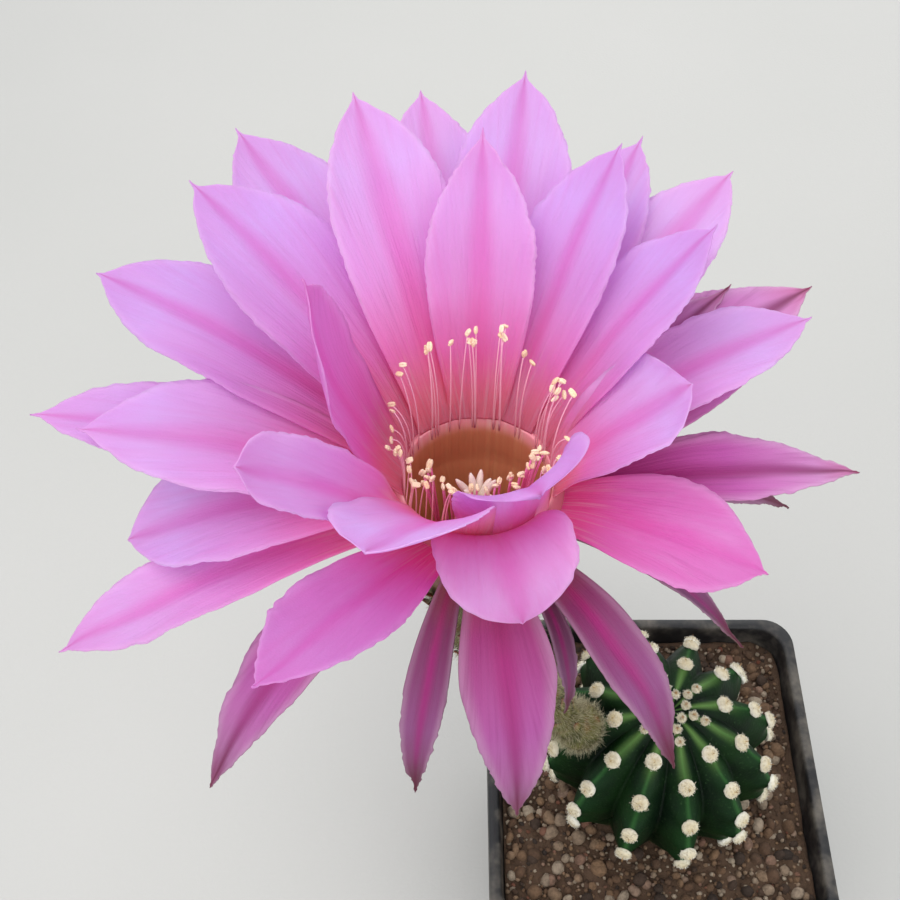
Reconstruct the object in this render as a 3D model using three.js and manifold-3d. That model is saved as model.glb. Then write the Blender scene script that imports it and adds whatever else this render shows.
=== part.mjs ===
// Potted echinopsis hybrid: a ribbed globe cactus with one large pink flower on a
// long hairy tube, in a square nursery pot. Millimetres, +Z up. The origin is the
// middle of the pot's underside, and -Y is the side that faces the viewer.
import * as THREE from 'three';
import { mergeVertices } from 'three/addons/utils/BufferGeometryUtils.js';
import Module from 'manifold-3d';

const wasm = await Module();
wasm.setup();

// Clearance that touching pieces keep
const GAP = 0.3;

// Pot
const POT_HEIGHT = 90;
const POT_TOP_WIDTH = 100;
const POT_BASE_WIDTH = 76;
const POT_WALL = 1.8;
const POT_FLOOR = 2.4;
const POT_CORNER = 9;
const LIP_HEIGHT = 9;
const LIP_OVERHANG = 1.8;
const DRAIN_RADIUS = 4.5;
const DRAIN_OFFSET = 22;

// Soil
const SOIL_TOP = 83;
const SOIL_GRIT = 1.6;
const ROOT_HOLE_RADIUS = 20;
const ROOT_HOLE_FLOOR = 70;

// Cactus body
const RIBS = 12;
const BODY_RADIUS = 33;
const BODY_MIDDLE_Z = 104.5;
const BODY_CROWN_RISE = 26.5;
const BODY_UNDER_RISE = 26;
const RIB_DEPTH = 0.26;
const RIB_PHASE = 8;
const AREOLES_PER_RIB = 5;
const AREOLE_STEP = 22;
const AREOLE_RADIUS = 2.3;
const SPINE_LENGTH = 2.4;
const SPINE_WIDTH = 0.7;

// Flower tube, from the ovary on the body's shoulder to the rim under the tepals
const OVARY_CENTRE = new THREE.Vector3(-25.7, -3.5, 126.4);
const OVARY_RADIUS = 6.5;
const OVARY_AXIS = new THREE.Vector3(-0.68, -0.05, 0.73).normalize();
const FLOWER_CENTRE = new THREE.Vector3(-56, -5, 259);
const TUBE_RIM_DROP = 22.6;
const TUBE_LOWER_PULL = 28;
const TUBE_UPPER_PULL = 52;
const THROAT_FLOOR = 0.4;
const TUBE_SCALES = 32;
const TUBE_HAIRS = 64;

// Tepals
const TEPAL_THICKNESS = 0.8;
const TIP_WIDTH = 1.1;
const PETAL_RING = { inner: 14.7, outer: 17.6, bottom: -17, top: -7.4 };
const OUTER_RING = { inner: 14.7, outer: 18.4, bottom: -22.3, top: -17.3 };

// Stamens and pistil
const RING_STAMENS = 20;
const LOW_STAMENS = 14;
const LOW_STAMEN_SHARE = 0.79;
const FILAMENT_WIDTH = 0.75;
const STIGMA_LOBES = 9;

// Each whorl's tepals share the start radius and height on the flower's axis, the
// bend's quickness and the outline; a tepal's own values come over them.
const INNER_WHORL = {
  radius: 15.4, height: -9, quick: 0.55, root: 0.5, widest: 0.6, blunt: 2.6, cup: 35,
};
const MIDDLE_WHORL = {
  radius: 16.5, height: -12, quick: 0.55, root: 0.45, widest: 0.6, blunt: 2.6, cup: 30,
};
const OUTER_WHORL = {
  radius: 17, height: -20, quick: 0.5, root: 0.5, widest: 0.45, blunt: 1.5, cup: 35,
};

// Each tepal's direction round the flower, length, width, and its slope at the root
// and at the tip, in degrees and millimetres. swerve turns it sideways towards its tip,
// lean raises one side over the other, and slant makes one side longer than the other.
const INNER_TEPALS = [
  { toward: 89, long: 57, wide: 22, from: 76, to: 48, radius: 14.9, blunt: 2 },
  { toward: 115, long: 67, wide: 25, from: 72, to: 38, swerve: -3 },
  { toward: 62, long: 59, wide: 20, from: 72, to: 38, swerve: -8 },
  { toward: 145, long: 66, wide: 27, from: 70, to: 25, radius: 16.3, root: 0.4 },
  { toward: 37, long: 54, wide: 19, from: 67, to: 32, radius: 16, swerve: -6 },
  { toward: 174, long: 55, wide: 24, from: 50, to: 88, radius: 15, blunt: 2, cup: 26, swerve: 8 },
  { toward: 221, long: 61, wide: 15, from: 62, to: 52, blunt: 6, lean: -38 },
  {
    toward: 250, long: 51, wide: 25, from: 86, to: 35, root: 0.6, blunt: 5, cup: 42,
    swerve: -12, lean: 15,
  },
  { toward: 280, long: 28, wide: 27, from: 88, to: -60, quick: 1, blunt: 3, widest: 0.5, swerve: 9 },
  { toward: 4, long: 34, wide: 24, from: 60, to: 35, blunt: 3, widest: 0.7, cup: 45, swerve: 12 },
  {
    toward: 296, long: 28.5, wide: 26, from: 85, to: -10, quick: 6, root: 0.75, widest: 0.7,
    blunt: 8, cup: 55, slant: 0.06,
  },
];
const MIDDLE_TEPALS = [
  { toward: 82, long: 72, wide: 25, from: 65, to: 25 },
  { toward: 99, long: 70, wide: 23, from: 62, to: 20 },
  { toward: 128, long: 74, wide: 26, from: 60, to: 15 },
  { toward: 61, long: 65, wide: 20, from: 62, to: 20 },
  { toward: 46, long: 68, wide: 22, from: 60, to: 15 },
  { toward: 156, long: 72, wide: 26, from: 52, to: 5 },
  { toward: 177, long: 71, wide: 19, from: 42, to: 0 },
  { toward: 182, long: 62, wide: 26, from: 50, to: 6, blunt: 2.2 },
  { toward: 189, long: 55, wide: 27, from: 40, to: -26, blunt: 3 },
  { toward: 200, long: 71, wide: 17, from: 20, to: -24, height: -15 },
  { toward: 240, long: 63, wide: 19, from: 42, to: 29, blunt: 2, cup: 24 },
  { toward: 341, long: 43, wide: 25, from: 28, to: -22, blunt: 1.7, swerve: 4 },
  { toward: 23, long: 59, wide: 20, from: 50, to: 5, swerve: -4 },
];
const OUTER_TEPALS = [
  { toward: 31, long: 69, wide: 28, from: 42, to: 5, blunt: 2.2 },
  { toward: 9, long: 67, wide: 18, from: 22, to: -18, widest: 0.55 },
  { toward: 15, long: 67, wide: 14, from: 12, to: -45 },
  { toward: 217, long: 72, wide: 17, from: 15, to: -65 },
  { toward: 254, long: 54, wide: 9, from: 15, to: -88 },
  { toward: 279, long: 57, wide: 20, from: 20, to: -85, widest: 0.35, blunt: 1.3, swerve: 5 },
  { toward: 304, long: 44, wide: 5, from: 10, to: -100 },
  { toward: 314, long: 59, wide: 13, from: 20, to: -72, swerve: 8 },
  { toward: 346, long: 56, wide: 8, from: 10, to: -60 },
  { toward: 38, long: 55, wide: 18, from: 45, to: 12 },
  { toward: 66, long: 58, wide: 17, from: 45, to: 5 },
  { toward: 96, long: 60, wide: 17, from: 42, to: 5 },
  { toward: 126, long: 60, wide: 17, from: 40, to: 0 },
  { toward: 152, long: 58, wide: 17, from: 38, to: 0 },
];

// Small helpers

function radians(degrees) {
  return THREE.MathUtils.degToRad(degrees);
}

function clamp01(value) {
  return THREE.MathUtils.clamp(value, 0, 1);
}

// A repeatable stream of numbers from 0 to 1
function seeded(seed) {
  let state = seed;
  return () => {
    state = (state * 1664525 + 1013904223) % 4294967296;
    return state / 4294967296;
  };
}

function polar(radius, degrees, z) {
  const angle = radians(degrees);
  return new THREE.Vector3(radius * Math.cos(angle), radius * Math.sin(angle), z);
}

// Solids

function solidFromTriangles(points, triangles) {
  const vertProperties = new Float32Array(points.flatMap((p) => [p.x, p.y, p.z]));
  const triVerts = new Uint32Array(triangles.flat());
  return new wasm.Manifold(new wasm.Mesh({ numProp: 3, vertProperties, triVerts }));
}

function solidFromGeometry(geometry) {
  geometry.deleteAttribute('normal');
  geometry.deleteAttribute('uv');
  const merged = mergeVertices(geometry, 1e-4);
  const vertProperties = new Float32Array(merged.getAttribute('position').array);
  const triVerts = new Uint32Array(merged.getIndex().array);
  return new wasm.Manifold(new wasm.Mesh({ numProp: 3, vertProperties, triVerts }));
}

// The largest of a solid's separate bodies; crumbs left by a cut are dropped
function largestBody(solid) {
  const bodies = solid.decompose();
  return bodies.reduce((best, body) => (body.volume() > best.volume() ? body : best));
}

function joinAll(solids) {
  return largestBody(wasm.Manifold.union(solids));
}

function namedMesh(name, solid, material) {
  const { vertProperties, triVerts } = solid.getMesh();
  const geometry = new THREE.BufferGeometry();
  geometry.setAttribute('position', new THREE.BufferAttribute(vertProperties, 3));
  geometry.setIndex(new THREE.BufferAttribute(triVerts, 1));
  geometry.computeVertexNormals();
  const mesh = new THREE.Mesh(geometry, material);
  mesh.name = name;
  return mesh;
}

// A closed body through rings of equally many points, each seen anticlockwise
// from the end that the rings run to, with a flat fan over both ends
function loft(rings) {
  const count = rings[0].length;
  const points = rings.flat();
  const triangles = [];
  for (let ring = 0; ring < rings.length - 1; ring += 1) {
    for (let i = 0; i < count; i += 1) {
      const a = ring * count + i;
      const b = ring * count + ((i + 1) % count);
      triangles.push([a, b, b + count], [a, b + count, a + count]);
    }
  }
  const fan = (ring, flip) => {
    const hub = points.length;
    const middle = new THREE.Vector3();
    rings[ring].forEach((p) => middle.addScaledVector(p, 1 / count));
    points.push(middle);
    for (let i = 0; i < count; i += 1) {
      const a = ring * count + i;
      const b = ring * count + ((i + 1) % count);
      triangles.push(flip ? [hub, b, a] : [hub, a, b]);
    }
  };
  fan(0, true);
  fan(rings.length - 1, false);
  return solidFromTriangles(points, triangles);
}

// A thin closed blade over a grid of points, thickened along its normals, with
// both faces split into triangles alike
function blade(points, normals, thickness) {
  const rows = points.length;
  const columns = points[0].length;
  const half = thickness / 2;
  const place = (side) => points.flatMap((row, i) => (
    row.map((p, j) => p.clone().addScaledVector(normals[i][j], side * half))
  ));
  const under = rows * columns;
  const at = (i, j) => i * columns + j;
  const triangles = [];
  for (let i = 0; i < rows - 1; i += 1) {
    for (let j = 0; j < columns - 1; j += 1) {
      const [a, b, c, d] = [at(i, j), at(i + 1, j), at(i + 1, j + 1), at(i, j + 1)];
      triangles.push([a, b, c], [a, c, d]);
      triangles.push([under + a, under + c, under + b], [under + a, under + d, under + c]);
    }
  }
  const rim = [];
  for (let i = 0; i < rows - 1; i += 1) rim.push(at(i, 0));
  for (let j = 0; j < columns - 1; j += 1) rim.push(at(rows - 1, j));
  for (let i = rows - 1; i > 0; i -= 1) rim.push(at(i, columns - 1));
  for (let j = columns - 1; j > 0; j -= 1) rim.push(at(0, j));
  rim.forEach((p, i) => {
    const q = rim[(i + 1) % rim.length];
    triangles.push([q, p, under + p], [q, under + p, under + q]);
  });
  return solidFromTriangles([...place(1), ...place(-1)], triangles);
}

// A slim three-sided needle from a wide root to a point
function needle(root, tip, width) {
  const along = tip.clone().sub(root).normalize();
  const spare = Math.abs(along.z) < 0.9 ? new THREE.Vector3(0, 0, 1) : new THREE.Vector3(1, 0, 0);
  const across = new THREE.Vector3().crossVectors(spare, along).normalize();
  const corners = [0, 120, 240].map((turn) => (
    root.clone().addScaledVector(across.clone().applyAxisAngle(along, radians(turn)), width / 2)
  ));
  return solidFromTriangles([...corners, tip], [[0, 2, 1], [0, 1, 3], [1, 2, 3], [2, 0, 3]]);
}

// A ring with a plain cross-section round an upright axis
function collar({ inner, outer, bottom, top }, sides, centre = new THREE.Vector3()) {
  const profile = [[inner, bottom], [outer, bottom], [outer, top], [inner, top], [inner, bottom]];
  const ring = new THREE.LatheGeometry(profile.map(([r, z]) => new THREE.Vector2(r, z)), sides);
  ring.rotateX(Math.PI / 2);
  ring.translate(centre.x, centre.y, centre.z);
  return solidFromGeometry(ring);
}

// A round body along a curve, its radius given for each share of the length
function sweep(curve, radiusAt, sides, steps, from = 0, to = 1) {
  const frames = curve.computeFrenetFrames(200);
  const rings = [];
  for (let step = 0; step <= steps; step += 1) {
    const share = from + (to - from) * (step / steps);
    const frame = Math.round(share * 200);
    const centre = curve.getPointAt(frame / 200);
    const radius = radiusAt(frame / 200);
    rings.push(Array.from({ length: sides }, (_, i) => {
      const angle = (i / sides) * 2 * Math.PI;
      return centre.clone()
        .addScaledVector(frames.normals[frame], radius * Math.cos(angle))
        .addScaledVector(frames.binormals[frame], radius * Math.sin(angle));
    }));
  }
  return loft(rings);
}

// Pot and soil

function roundedSquare(halfWidth, corner, z, perCorner) {
  const ring = [];
  for (let quarter = 0; quarter < 4; quarter += 1) {
    const middle = polar((halfWidth - corner) * Math.SQRT2, 45 + 90 * quarter, z);
    for (let i = 0; i < perCorner; i += 1) {
      const turn = 90 * quarter + (90 * i) / (perCorner - 1);
      ring.push(polar(corner, turn, 0).add(middle));
    }
  }
  return ring;
}

function potHalfWidth(z) {
  const body = POT_TOP_WIDTH / 2 - LIP_OVERHANG;
  return POT_BASE_WIDTH / 2 + (body - POT_BASE_WIDTH / 2) * (z / POT_HEIGHT);
}

function buildPot(material) {
  const lipBottom = POT_HEIGHT - LIP_HEIGHT;
  const outline = [
    [potHalfWidth(0), 0],
    [potHalfWidth(lipBottom), lipBottom],
    [POT_TOP_WIDTH / 2, lipBottom + 1],
    [POT_TOP_WIDTH / 2, POT_HEIGHT],
    [potHalfWidth(POT_HEIGHT) - POT_WALL, POT_HEIGHT],
    [potHalfWidth(POT_FLOOR) - POT_WALL, POT_FLOOR],
  ];
  const shell = loft(outline.map(([half, z]) => roundedSquare(half, POT_CORNER, z, 5)));
  const drains = [45, 135, 225, 315].map((turn) => {
    const drain = new THREE.CylinderGeometry(DRAIN_RADIUS, DRAIN_RADIUS, 4 * POT_FLOOR, 10);
    drain.rotateX(Math.PI / 2);
    const place = polar(DRAIN_OFFSET * Math.SQRT2, turn, 0);
    drain.translate(place.x, place.y, 0);
    return solidFromGeometry(drain);
  });
  return namedMesh('pot', shell.subtract(wasm.Manifold.union(drains)), material);
}

function buildSoil(material) {
  const perCorner = 8;
  const count = 4 * perCorner;
  const random = seeded(11);
  const half = (z) => potHalfWidth(z) - POT_WALL - GAP;
  const floor = POT_FLOOR + GAP;
  const edge = roundedSquare(half(SOIL_TOP), POT_CORNER, SOIL_TOP, perCorner);
  const hole = Array.from({ length: count }, (_, i) => (
    polar(ROOT_HOLE_RADIUS + GAP, (360 * i) / (count - 1.05), SOIL_TOP - 1)
  ));
  const rings = [roundedSquare(half(floor), POT_CORNER, floor, perCorner), edge];
  const steps = 6;
  for (let step = 1; step < steps; step += 1) {
    rings.push(edge.map((p, i) => {
      const grain = p.clone().lerp(hole[i], step / steps);
      grain.z = SOIL_TOP - 1 + SOIL_GRIT * (random() - 0.5);
      return grain;
    }));
  }
  rings.push(hole);
  rings.push(hole.map((p) => new THREE.Vector3(p.x, p.y, ROOT_HOLE_FLOOR)));
  return namedMesh('soil', loft(rings), material);
}

// Cactus body

// Radius and height of the body's outer curve, by its angle above the middle
function bodyCurve(angle) {
  const rise = angle > 0 ? BODY_CROWN_RISE : BODY_UNDER_RISE;
  return {
    radius: BODY_RADIUS * Math.cos(radians(angle)),
    z: BODY_MIDDLE_Z + rise * Math.sin(radians(angle)),
  };
}

function areoles() {
  const places = [];
  for (let rib = 0; rib < RIBS; rib += 1) {
    const turn = RIB_PHASE + (360 * rib) / RIBS;
    const start = -26 + (rib % 2) * (AREOLE_STEP / 2);
    for (let i = 0; i < AREOLES_PER_RIB; i += 1) {
      const angle = start + i * AREOLE_STEP;
      const { radius, z } = bodyCurve(angle);
      const place = polar(radius, turn, z);
      const outward = polar(Math.cos(radians(angle)), turn, Math.sin(radians(angle)));
      const clear = place.distanceTo(OVARY_CENTRE) > OVARY_RADIUS + 1.5 * AREOLE_RADIUS;
      if (clear && angle < 80) places.push({ place, outward });
    }
  }
  return places;
}

function buildBody(material) {
  const ribShape = [1, 1 - 0.4 * RIB_DEPTH, 1 - RIB_DEPTH, 1 - 0.4 * RIB_DEPTH];
  const count = RIBS * ribShape.length;
  const ring = (radius, z, ribbed) => Array.from({ length: count }, (_, i) => {
    const shape = 1 - (1 - ribShape[i % ribShape.length]) * ribbed;
    return polar(radius * shape, RIB_PHASE + (360 * i) / count, z);
  });
  const rings = [
    ring(ROOT_HOLE_RADIUS, ROOT_HOLE_FLOOR + GAP, 0),
    ring(ROOT_HOLE_RADIUS, SOIL_TOP - 0.5, 0),
  ];
  const steps = 11;
  for (let step = 0; step < steps; step += 1) {
    const angle = -50 + (134 * step) / (steps - 1);
    const { radius, z } = bodyCurve(angle);
    rings.push(ring(radius, z, clamp01((step + 0.3) / 3)));
  }
  const solids = [loft(rings)];
  // A pad of wool with one short spine standing out of it
  const pad = [
    [0, -1.6],
    [AREOLE_RADIUS, -1.6],
    [0.85 * AREOLE_RADIUS, 0.8],
    [SPINE_WIDTH / 2, 1.3],
    [0, 1.3 + SPINE_LENGTH],
  ];
  areoles().forEach(({ place, outward }) => {
    const wool = new THREE.LatheGeometry(pad.map(([r, z]) => new THREE.Vector2(r, z)), 5);
    wool.rotateX(Math.PI / 2);
    wool.lookAt(outward);
    wool.translate(place.x, place.y, place.z);
    solids.push(solidFromGeometry(wool));
  });
  const socket = new THREE.SphereGeometry(OVARY_RADIUS + GAP + 0.2, 14, 10);
  socket.translate(OVARY_CENTRE.x, OVARY_CENTRE.y, OVARY_CENTRE.z);
  const whole = joinAll(solids).subtract(solidFromGeometry(socket));
  return namedMesh('cactus_body', largestBody(whole), material);
}

// Flower tube

function tubeCurve() {
  const start = OVARY_CENTRE.clone().addScaledVector(OVARY_AXIS, -OVARY_RADIUS);
  const end = FLOWER_CENTRE.clone();
  end.z -= TUBE_RIM_DROP;
  const lower = start.clone().addScaledVector(OVARY_AXIS, TUBE_LOWER_PULL);
  const upper = end.clone();
  upper.z -= TUBE_UPPER_PULL;
  return new THREE.CubicBezierCurve3(start, lower, upper, end);
}

// Value at a share of the length, straight between the pairs of a short list
function between(pairs, share) {
  const next = pairs.findIndex(([at]) => at >= share);
  if (next <= 0) return pairs[0][1];
  const [fromAt, fromValue] = pairs[next - 1];
  const [toAt, toValue] = pairs[next];
  return fromValue + ((toValue - fromValue) * (share - fromAt)) / (toAt - fromAt);
}

function tubeRadius(share, length) {
  const along = share * length;
  if (along < OVARY_RADIUS * 1.6) {
    const from = along - OVARY_RADIUS;
    return Math.sqrt(Math.max(OVARY_RADIUS ** 2 - from ** 2, 1));
  }
  return between([[0, 5.2], [0.14, 5.2], [0.45, 8.6], [0.8, 11.6], [0.93, 15], [1, 17.8]], share);
}

function throatRadius(share) {
  return between([[0, 2.5], [0.38, 2.5], [0.6, 6.4], [0.8, 9.2], [0.93, 12.6], [1, 15]], share);
}

function buildTube(material) {
  const curve = tubeCurve();
  const length = curve.getLength();
  const skin = sweep(curve, (share) => tubeRadius(share, length), 12, 20);
  const frames = curve.computeFrenetFrames(200);
  const random = seeded(5);
  const solids = [skin];
  const onSkin = (share, turn) => {
    const frame = Math.round(share * 200);
    const outward = frames.normals[frame].clone().applyAxisAngle(frames.tangents[frame], turn);
    const centre = curve.getPointAt(frame / 200);
    const along = frames.tangents[frame];
    return { outward, centre, along, radius: tubeRadius(frame / 200, length) };
  };
  for (let i = 0; i < TUBE_SCALES; i += 1) {
    const share = 0.1 + 0.8 * (i / TUBE_SCALES);
    const { outward, centre, along, radius } = onSkin(share, radians(137.5 * i));
    const root = centre.clone().addScaledVector(outward, radius - 1.6);
    const tip = centre.clone().addScaledVector(outward, radius + 1.4 + 1.2 * share)
      .addScaledVector(along, 8 + 6 * share);
    solids.push(needle(root, tip, 3.4));
  }
  for (let i = 0; i < TUBE_HAIRS; i += 1) {
    const share = 0.03 + 0.85 * (i / TUBE_HAIRS);
    const { outward, centre, along, radius } = onSkin(share, radians(137.5 * i + 60));
    const root = centre.clone().addScaledVector(outward, radius - 1.2);
    const reach = 4 + 2.5 * random();
    const tip = centre.clone().addScaledVector(outward, radius + reach)
      .addScaledVector(along, 2 + 4 * random());
    solids.push(needle(root, tip, 0.9));
  }
  const throat = sweep(curve, throatRadius, 12, 14, THROAT_FLOOR, 1);
  const mouth = new THREE.CylinderGeometry(throatRadius(1), throatRadius(1), 4, 12);
  mouth.rotateX(Math.PI / 2);
  mouth.translate(FLOWER_CENTRE.x, FLOWER_CENTRE.y, FLOWER_CENTRE.z - TUBE_RIM_DROP + 1.9);
  const hollow = throat.add(solidFromGeometry(mouth));
  return namedMesh('flower_tube', largestBody(joinAll(solids).subtract(hollow)), material);
}

// Tepals, in the flower's own frame: its axis is Z and its throat the origin

function halfWidthAt(share, tepal) {
  const rise = Math.sin(clamp01(share / tepal.widest) * (Math.PI / 2)) ** 1.3;
  const fall = clamp01((share - tepal.widest) / (1 - tepal.widest)) ** tepal.blunt;
  const half = (tepal.wide / 2) * (tepal.root + (1 - tepal.root) * rise) * (1 - fall);
  return Math.max(half, TIP_WIDTH / 2);
}

// Middle line of a tepal: a point and its heading for each of the fine steps
function middleLine(tepal, fine) {
  const swerve = tepal.swerve ?? 0;
  const point = polar(tepal.radius, tepal.toward, tepal.height);
  const line = [];
  for (let i = 0; i <= fine; i += 1) {
    const share = i / fine;
    const slope = radians(tepal.from + (tepal.to - tepal.from) * share ** tepal.quick);
    const heading = tepal.toward + swerve * share ** 1.5;
    const along = polar(Math.cos(slope), heading, Math.sin(slope));
    line.push({ point: point.clone(), along, heading });
    point.addScaledVector(along, tepal.long / fine);
  }
  return line;
}

function tepalBlade(tepal, rows, columns) {
  const fine = 10 * rows;
  const line = middleLine(tepal, fine);
  const points = [];
  const normals = [];
  for (let i = 0; i <= rows; i += 1) {
    const share = i / rows;
    const { point, along, heading } = line[i * 10];
    const tilt = radians(tepal.lean ?? 0) * THREE.MathUtils.smoothstep(share, 0, 0.35);
    const across = polar(1, heading + 90, 0).applyAxisAngle(along, tilt);
    const up = new THREE.Vector3().crossVectors(along, across);
    const half = halfWidthAt(share, tepal);
    const reach = point.clone().sub(line[0].point);
    const rootCup = half / tepal.radius;
    const fullCup = radians(tepal.cup) * (1 - 0.35 * share);
    const cup = THREE.MathUtils.lerp(rootCup, fullCup, THREE.MathUtils.smoothstep(share, 0, 0.3));
    const pointRow = [];
    const normalRow = [];
    for (let j = 0; j <= columns; j += 1) {
      const side = (2 * j) / columns - 1;
      const bend = cup * side;
      pointRow.push(point.clone()
        .addScaledVector(reach, (tepal.slant ?? 0) * side)
        .addScaledVector(across, (half * Math.sin(bend)) / cup)
        .addScaledVector(up, (half * (1 - Math.cos(bend))) / cup));
      normalRow.push(up.clone().multiplyScalar(Math.cos(bend))
        .addScaledVector(across, -Math.sin(bend)));
    }
    points.push(pointRow);
    normals.push(normalRow);
  }
  return blade(points, normals, TEPAL_THICKNESS);
}

function buildTepals(name, whorls, ring, rows, columns, material) {
  const solids = [collar(ring, 24)];
  whorls.forEach(([whorl, tepals]) => {
    tepals.forEach((tepal) => solids.push(tepalBlade({ ...whorl, ...tepal }, rows, columns)));
  });
  const mesh = namedMesh(name, joinAll(solids), material);
  mesh.position.copy(FLOWER_CENTRE);
  return mesh;
}

// Stamens and pistil

// A thin three-sided stalk that bends once, with an oblong anther on its end
function stamen(root, bend, tip, antherTurn) {
  const curve = new THREE.QuadraticBezierCurve3(root, bend, tip);
  const stalk = sweep(curve, () => FILAMENT_WIDTH / 2, 3, 2);
  const anther = new THREE.OctahedronGeometry(1, 0);
  anther.scale(0.75, 1.5, 0.75);
  anther.rotateZ(radians(antherTurn));
  anther.translate(tip.x, tip.y, tip.z);
  return stalk.add(solidFromGeometry(anther));
}

// How far a direction faces the viewer's side of the flower, from 0 to 1
function frontness(degrees) {
  return Math.max(0, -Math.sin(radians(degrees)));
}

function buildRingStamens(material) {
  const random = seeded(23);
  const solids = [collar({ inner: 13, outer: 14.3, bottom: -13, top: -9 }, 24)];
  for (let i = 0; i < RING_STAMENS; i += 1) {
    const turn = (360 * i) / RING_STAMENS + 5 * random();
    const front = frontness(turn);
    const reach = 18.8 - 6.4 * front ** 0.6 + 0.8 * random();
    const height = 12 - 10 * front + 2.5 * random();
    const root = polar(13.6, turn, -11);
    const tip = polar(reach, turn, height);
    const bend = polar(14 - 0.6 * front, turn, 0.4 * height);
    solids.push(stamen(root, bend, tip, turn + 60 * random()));
  }
  const mesh = namedMesh('ring_stamens', joinAll(solids), material);
  mesh.position.copy(FLOWER_CENTRE);
  return mesh;
}

function buildLowStamens(material) {
  const random = seeded(37);
  const centre = tubeCurve().getPointAt(LOW_STAMEN_SHARE).sub(FLOWER_CENTRE);
  const outer = 0.96 * throatRadius(LOW_STAMEN_SHARE) - GAP;
  const ring = { inner: outer - 1.6, outer, bottom: -2, top: 2 };
  const solids = [collar(ring, 16, centre)];
  for (let i = 0; i < LOW_STAMENS; i += 1) {
    const turn = 190 + (170 * i) / (LOW_STAMENS - 1);
    const root = polar(outer - 0.8, turn, 0).add(centre);
    const reach = 6.5 + 3.2 * ((i * 0.618) % 1);
    const tip = polar(reach, turn, -4 + 7 * random());
    const bend = polar(7.2, turn, -28);
    solids.push(stamen(root, bend, tip, turn + 90 * random()));
  }
  const mesh = namedMesh('low_stamens', joinAll(solids), material);
  mesh.position.copy(FLOWER_CENTRE);
  return mesh;
}

function buildPistil(material) {
  const tube = tubeCurve();
  const inFlower = (share) => tube.getPointAt(share).sub(FLOWER_CENTRE);
  const rise = tube.getTangentAt(THROAT_FLOOR);
  const foot = inFlower(THROAT_FLOOR).addScaledVector(rise, GAP);
  const top = new THREE.Vector3(0, -3, -12);
  const curve = new THREE.CatmullRomCurve3([foot, inFlower(0.55), inFlower(0.75), inFlower(0.95), top]);
  const solids = [sweep(curve, (share) => 0.9 + 0.5 * share, 6, 8)];
  for (let i = 0; i < STIGMA_LOBES; i += 1) {
    const turn = (360 * i) / STIGMA_LOBES;
    const root = top.clone().add(polar(0.5, turn, -0.8));
    solids.push(needle(root, top.clone().add(polar(3, turn, 6)), 1.5));
  }
  const mesh = namedMesh('pistil', joinAll(solids), material);
  mesh.position.copy(FLOWER_CENTRE);
  return mesh;
}

// Materials

function plainMaterial(color, roughness) {
  return new THREE.MeshStandardMaterial({ color, roughness, metalness: 0 });
}

const pottedPlant = new THREE.Group();
pottedPlant.add(
  buildPot(plainMaterial(0x161616, 0.55)),
  buildSoil(plainMaterial(0x5b4a3a, 0.95)),
  buildBody(plainMaterial(0x2c5a2e, 0.6)),
  buildTube(plainMaterial(0x6c6a3e, 0.85)),
  buildTepals(
    'outer_tepals', [[OUTER_WHORL, OUTER_TEPALS]], OUTER_RING, 6, 2, plainMaterial(0xa8508f, 0.5),
  ),
  buildTepals(
    'petals', [[INNER_WHORL, INNER_TEPALS], [MIDDLE_WHORL, MIDDLE_TEPALS]], PETAL_RING, 7, 4,
    plainMaterial(0xe58fd6, 0.5),
  ),
  buildRingStamens(plainMaterial(0xf0c8a0, 0.6)),
  buildLowStamens(plainMaterial(0xe8a8b8, 0.6)),
  buildPistil(plainMaterial(0xf2e6d8, 0.6)),
);

export default pottedPlant;
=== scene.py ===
# Potted echinopsis hybrid: a ribbed globe cactus with one large pink flower on a long
# hairy tube, in a square nursery pot. Measures are in millimetres and become metres
# where a mesh is made. The frame is the CAD model's: the origin is the middle of the
# pot's underside, +Z is up and -Y faces the viewer.
import math

import bmesh
import bpy
import mathutils
import numpy as np
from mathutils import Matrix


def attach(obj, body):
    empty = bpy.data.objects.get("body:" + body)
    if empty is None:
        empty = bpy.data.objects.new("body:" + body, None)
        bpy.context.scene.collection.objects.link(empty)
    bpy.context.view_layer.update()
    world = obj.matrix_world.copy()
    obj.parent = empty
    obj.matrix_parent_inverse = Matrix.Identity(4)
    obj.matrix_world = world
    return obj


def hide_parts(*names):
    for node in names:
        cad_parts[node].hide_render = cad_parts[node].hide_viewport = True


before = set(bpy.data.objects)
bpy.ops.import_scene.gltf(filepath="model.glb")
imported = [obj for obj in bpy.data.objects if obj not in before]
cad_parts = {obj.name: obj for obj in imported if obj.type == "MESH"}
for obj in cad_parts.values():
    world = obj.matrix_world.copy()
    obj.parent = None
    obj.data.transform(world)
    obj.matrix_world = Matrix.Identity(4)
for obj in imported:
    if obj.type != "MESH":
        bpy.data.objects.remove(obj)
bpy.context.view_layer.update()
scene = bpy.context.scene

MM = 0.001

# Pot
POT_HEIGHT = 90
POT_TOP_WIDTH = 100
POT_BASE_WIDTH = 76
POT_WALL = 1.8
POT_FLOOR = 2.4
POT_CORNER = 9
LIP_HEIGHT = 9
LIP_OVERHANG = 1.8
DRAIN_RADIUS = 4.5
DRAIN_OFFSET = 22

# Soil
SOIL_TOP = 83
ROOT_HOLE_RADIUS = 20
ROOT_HOLE_FLOOR = 70
GAP = 0.3

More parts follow.
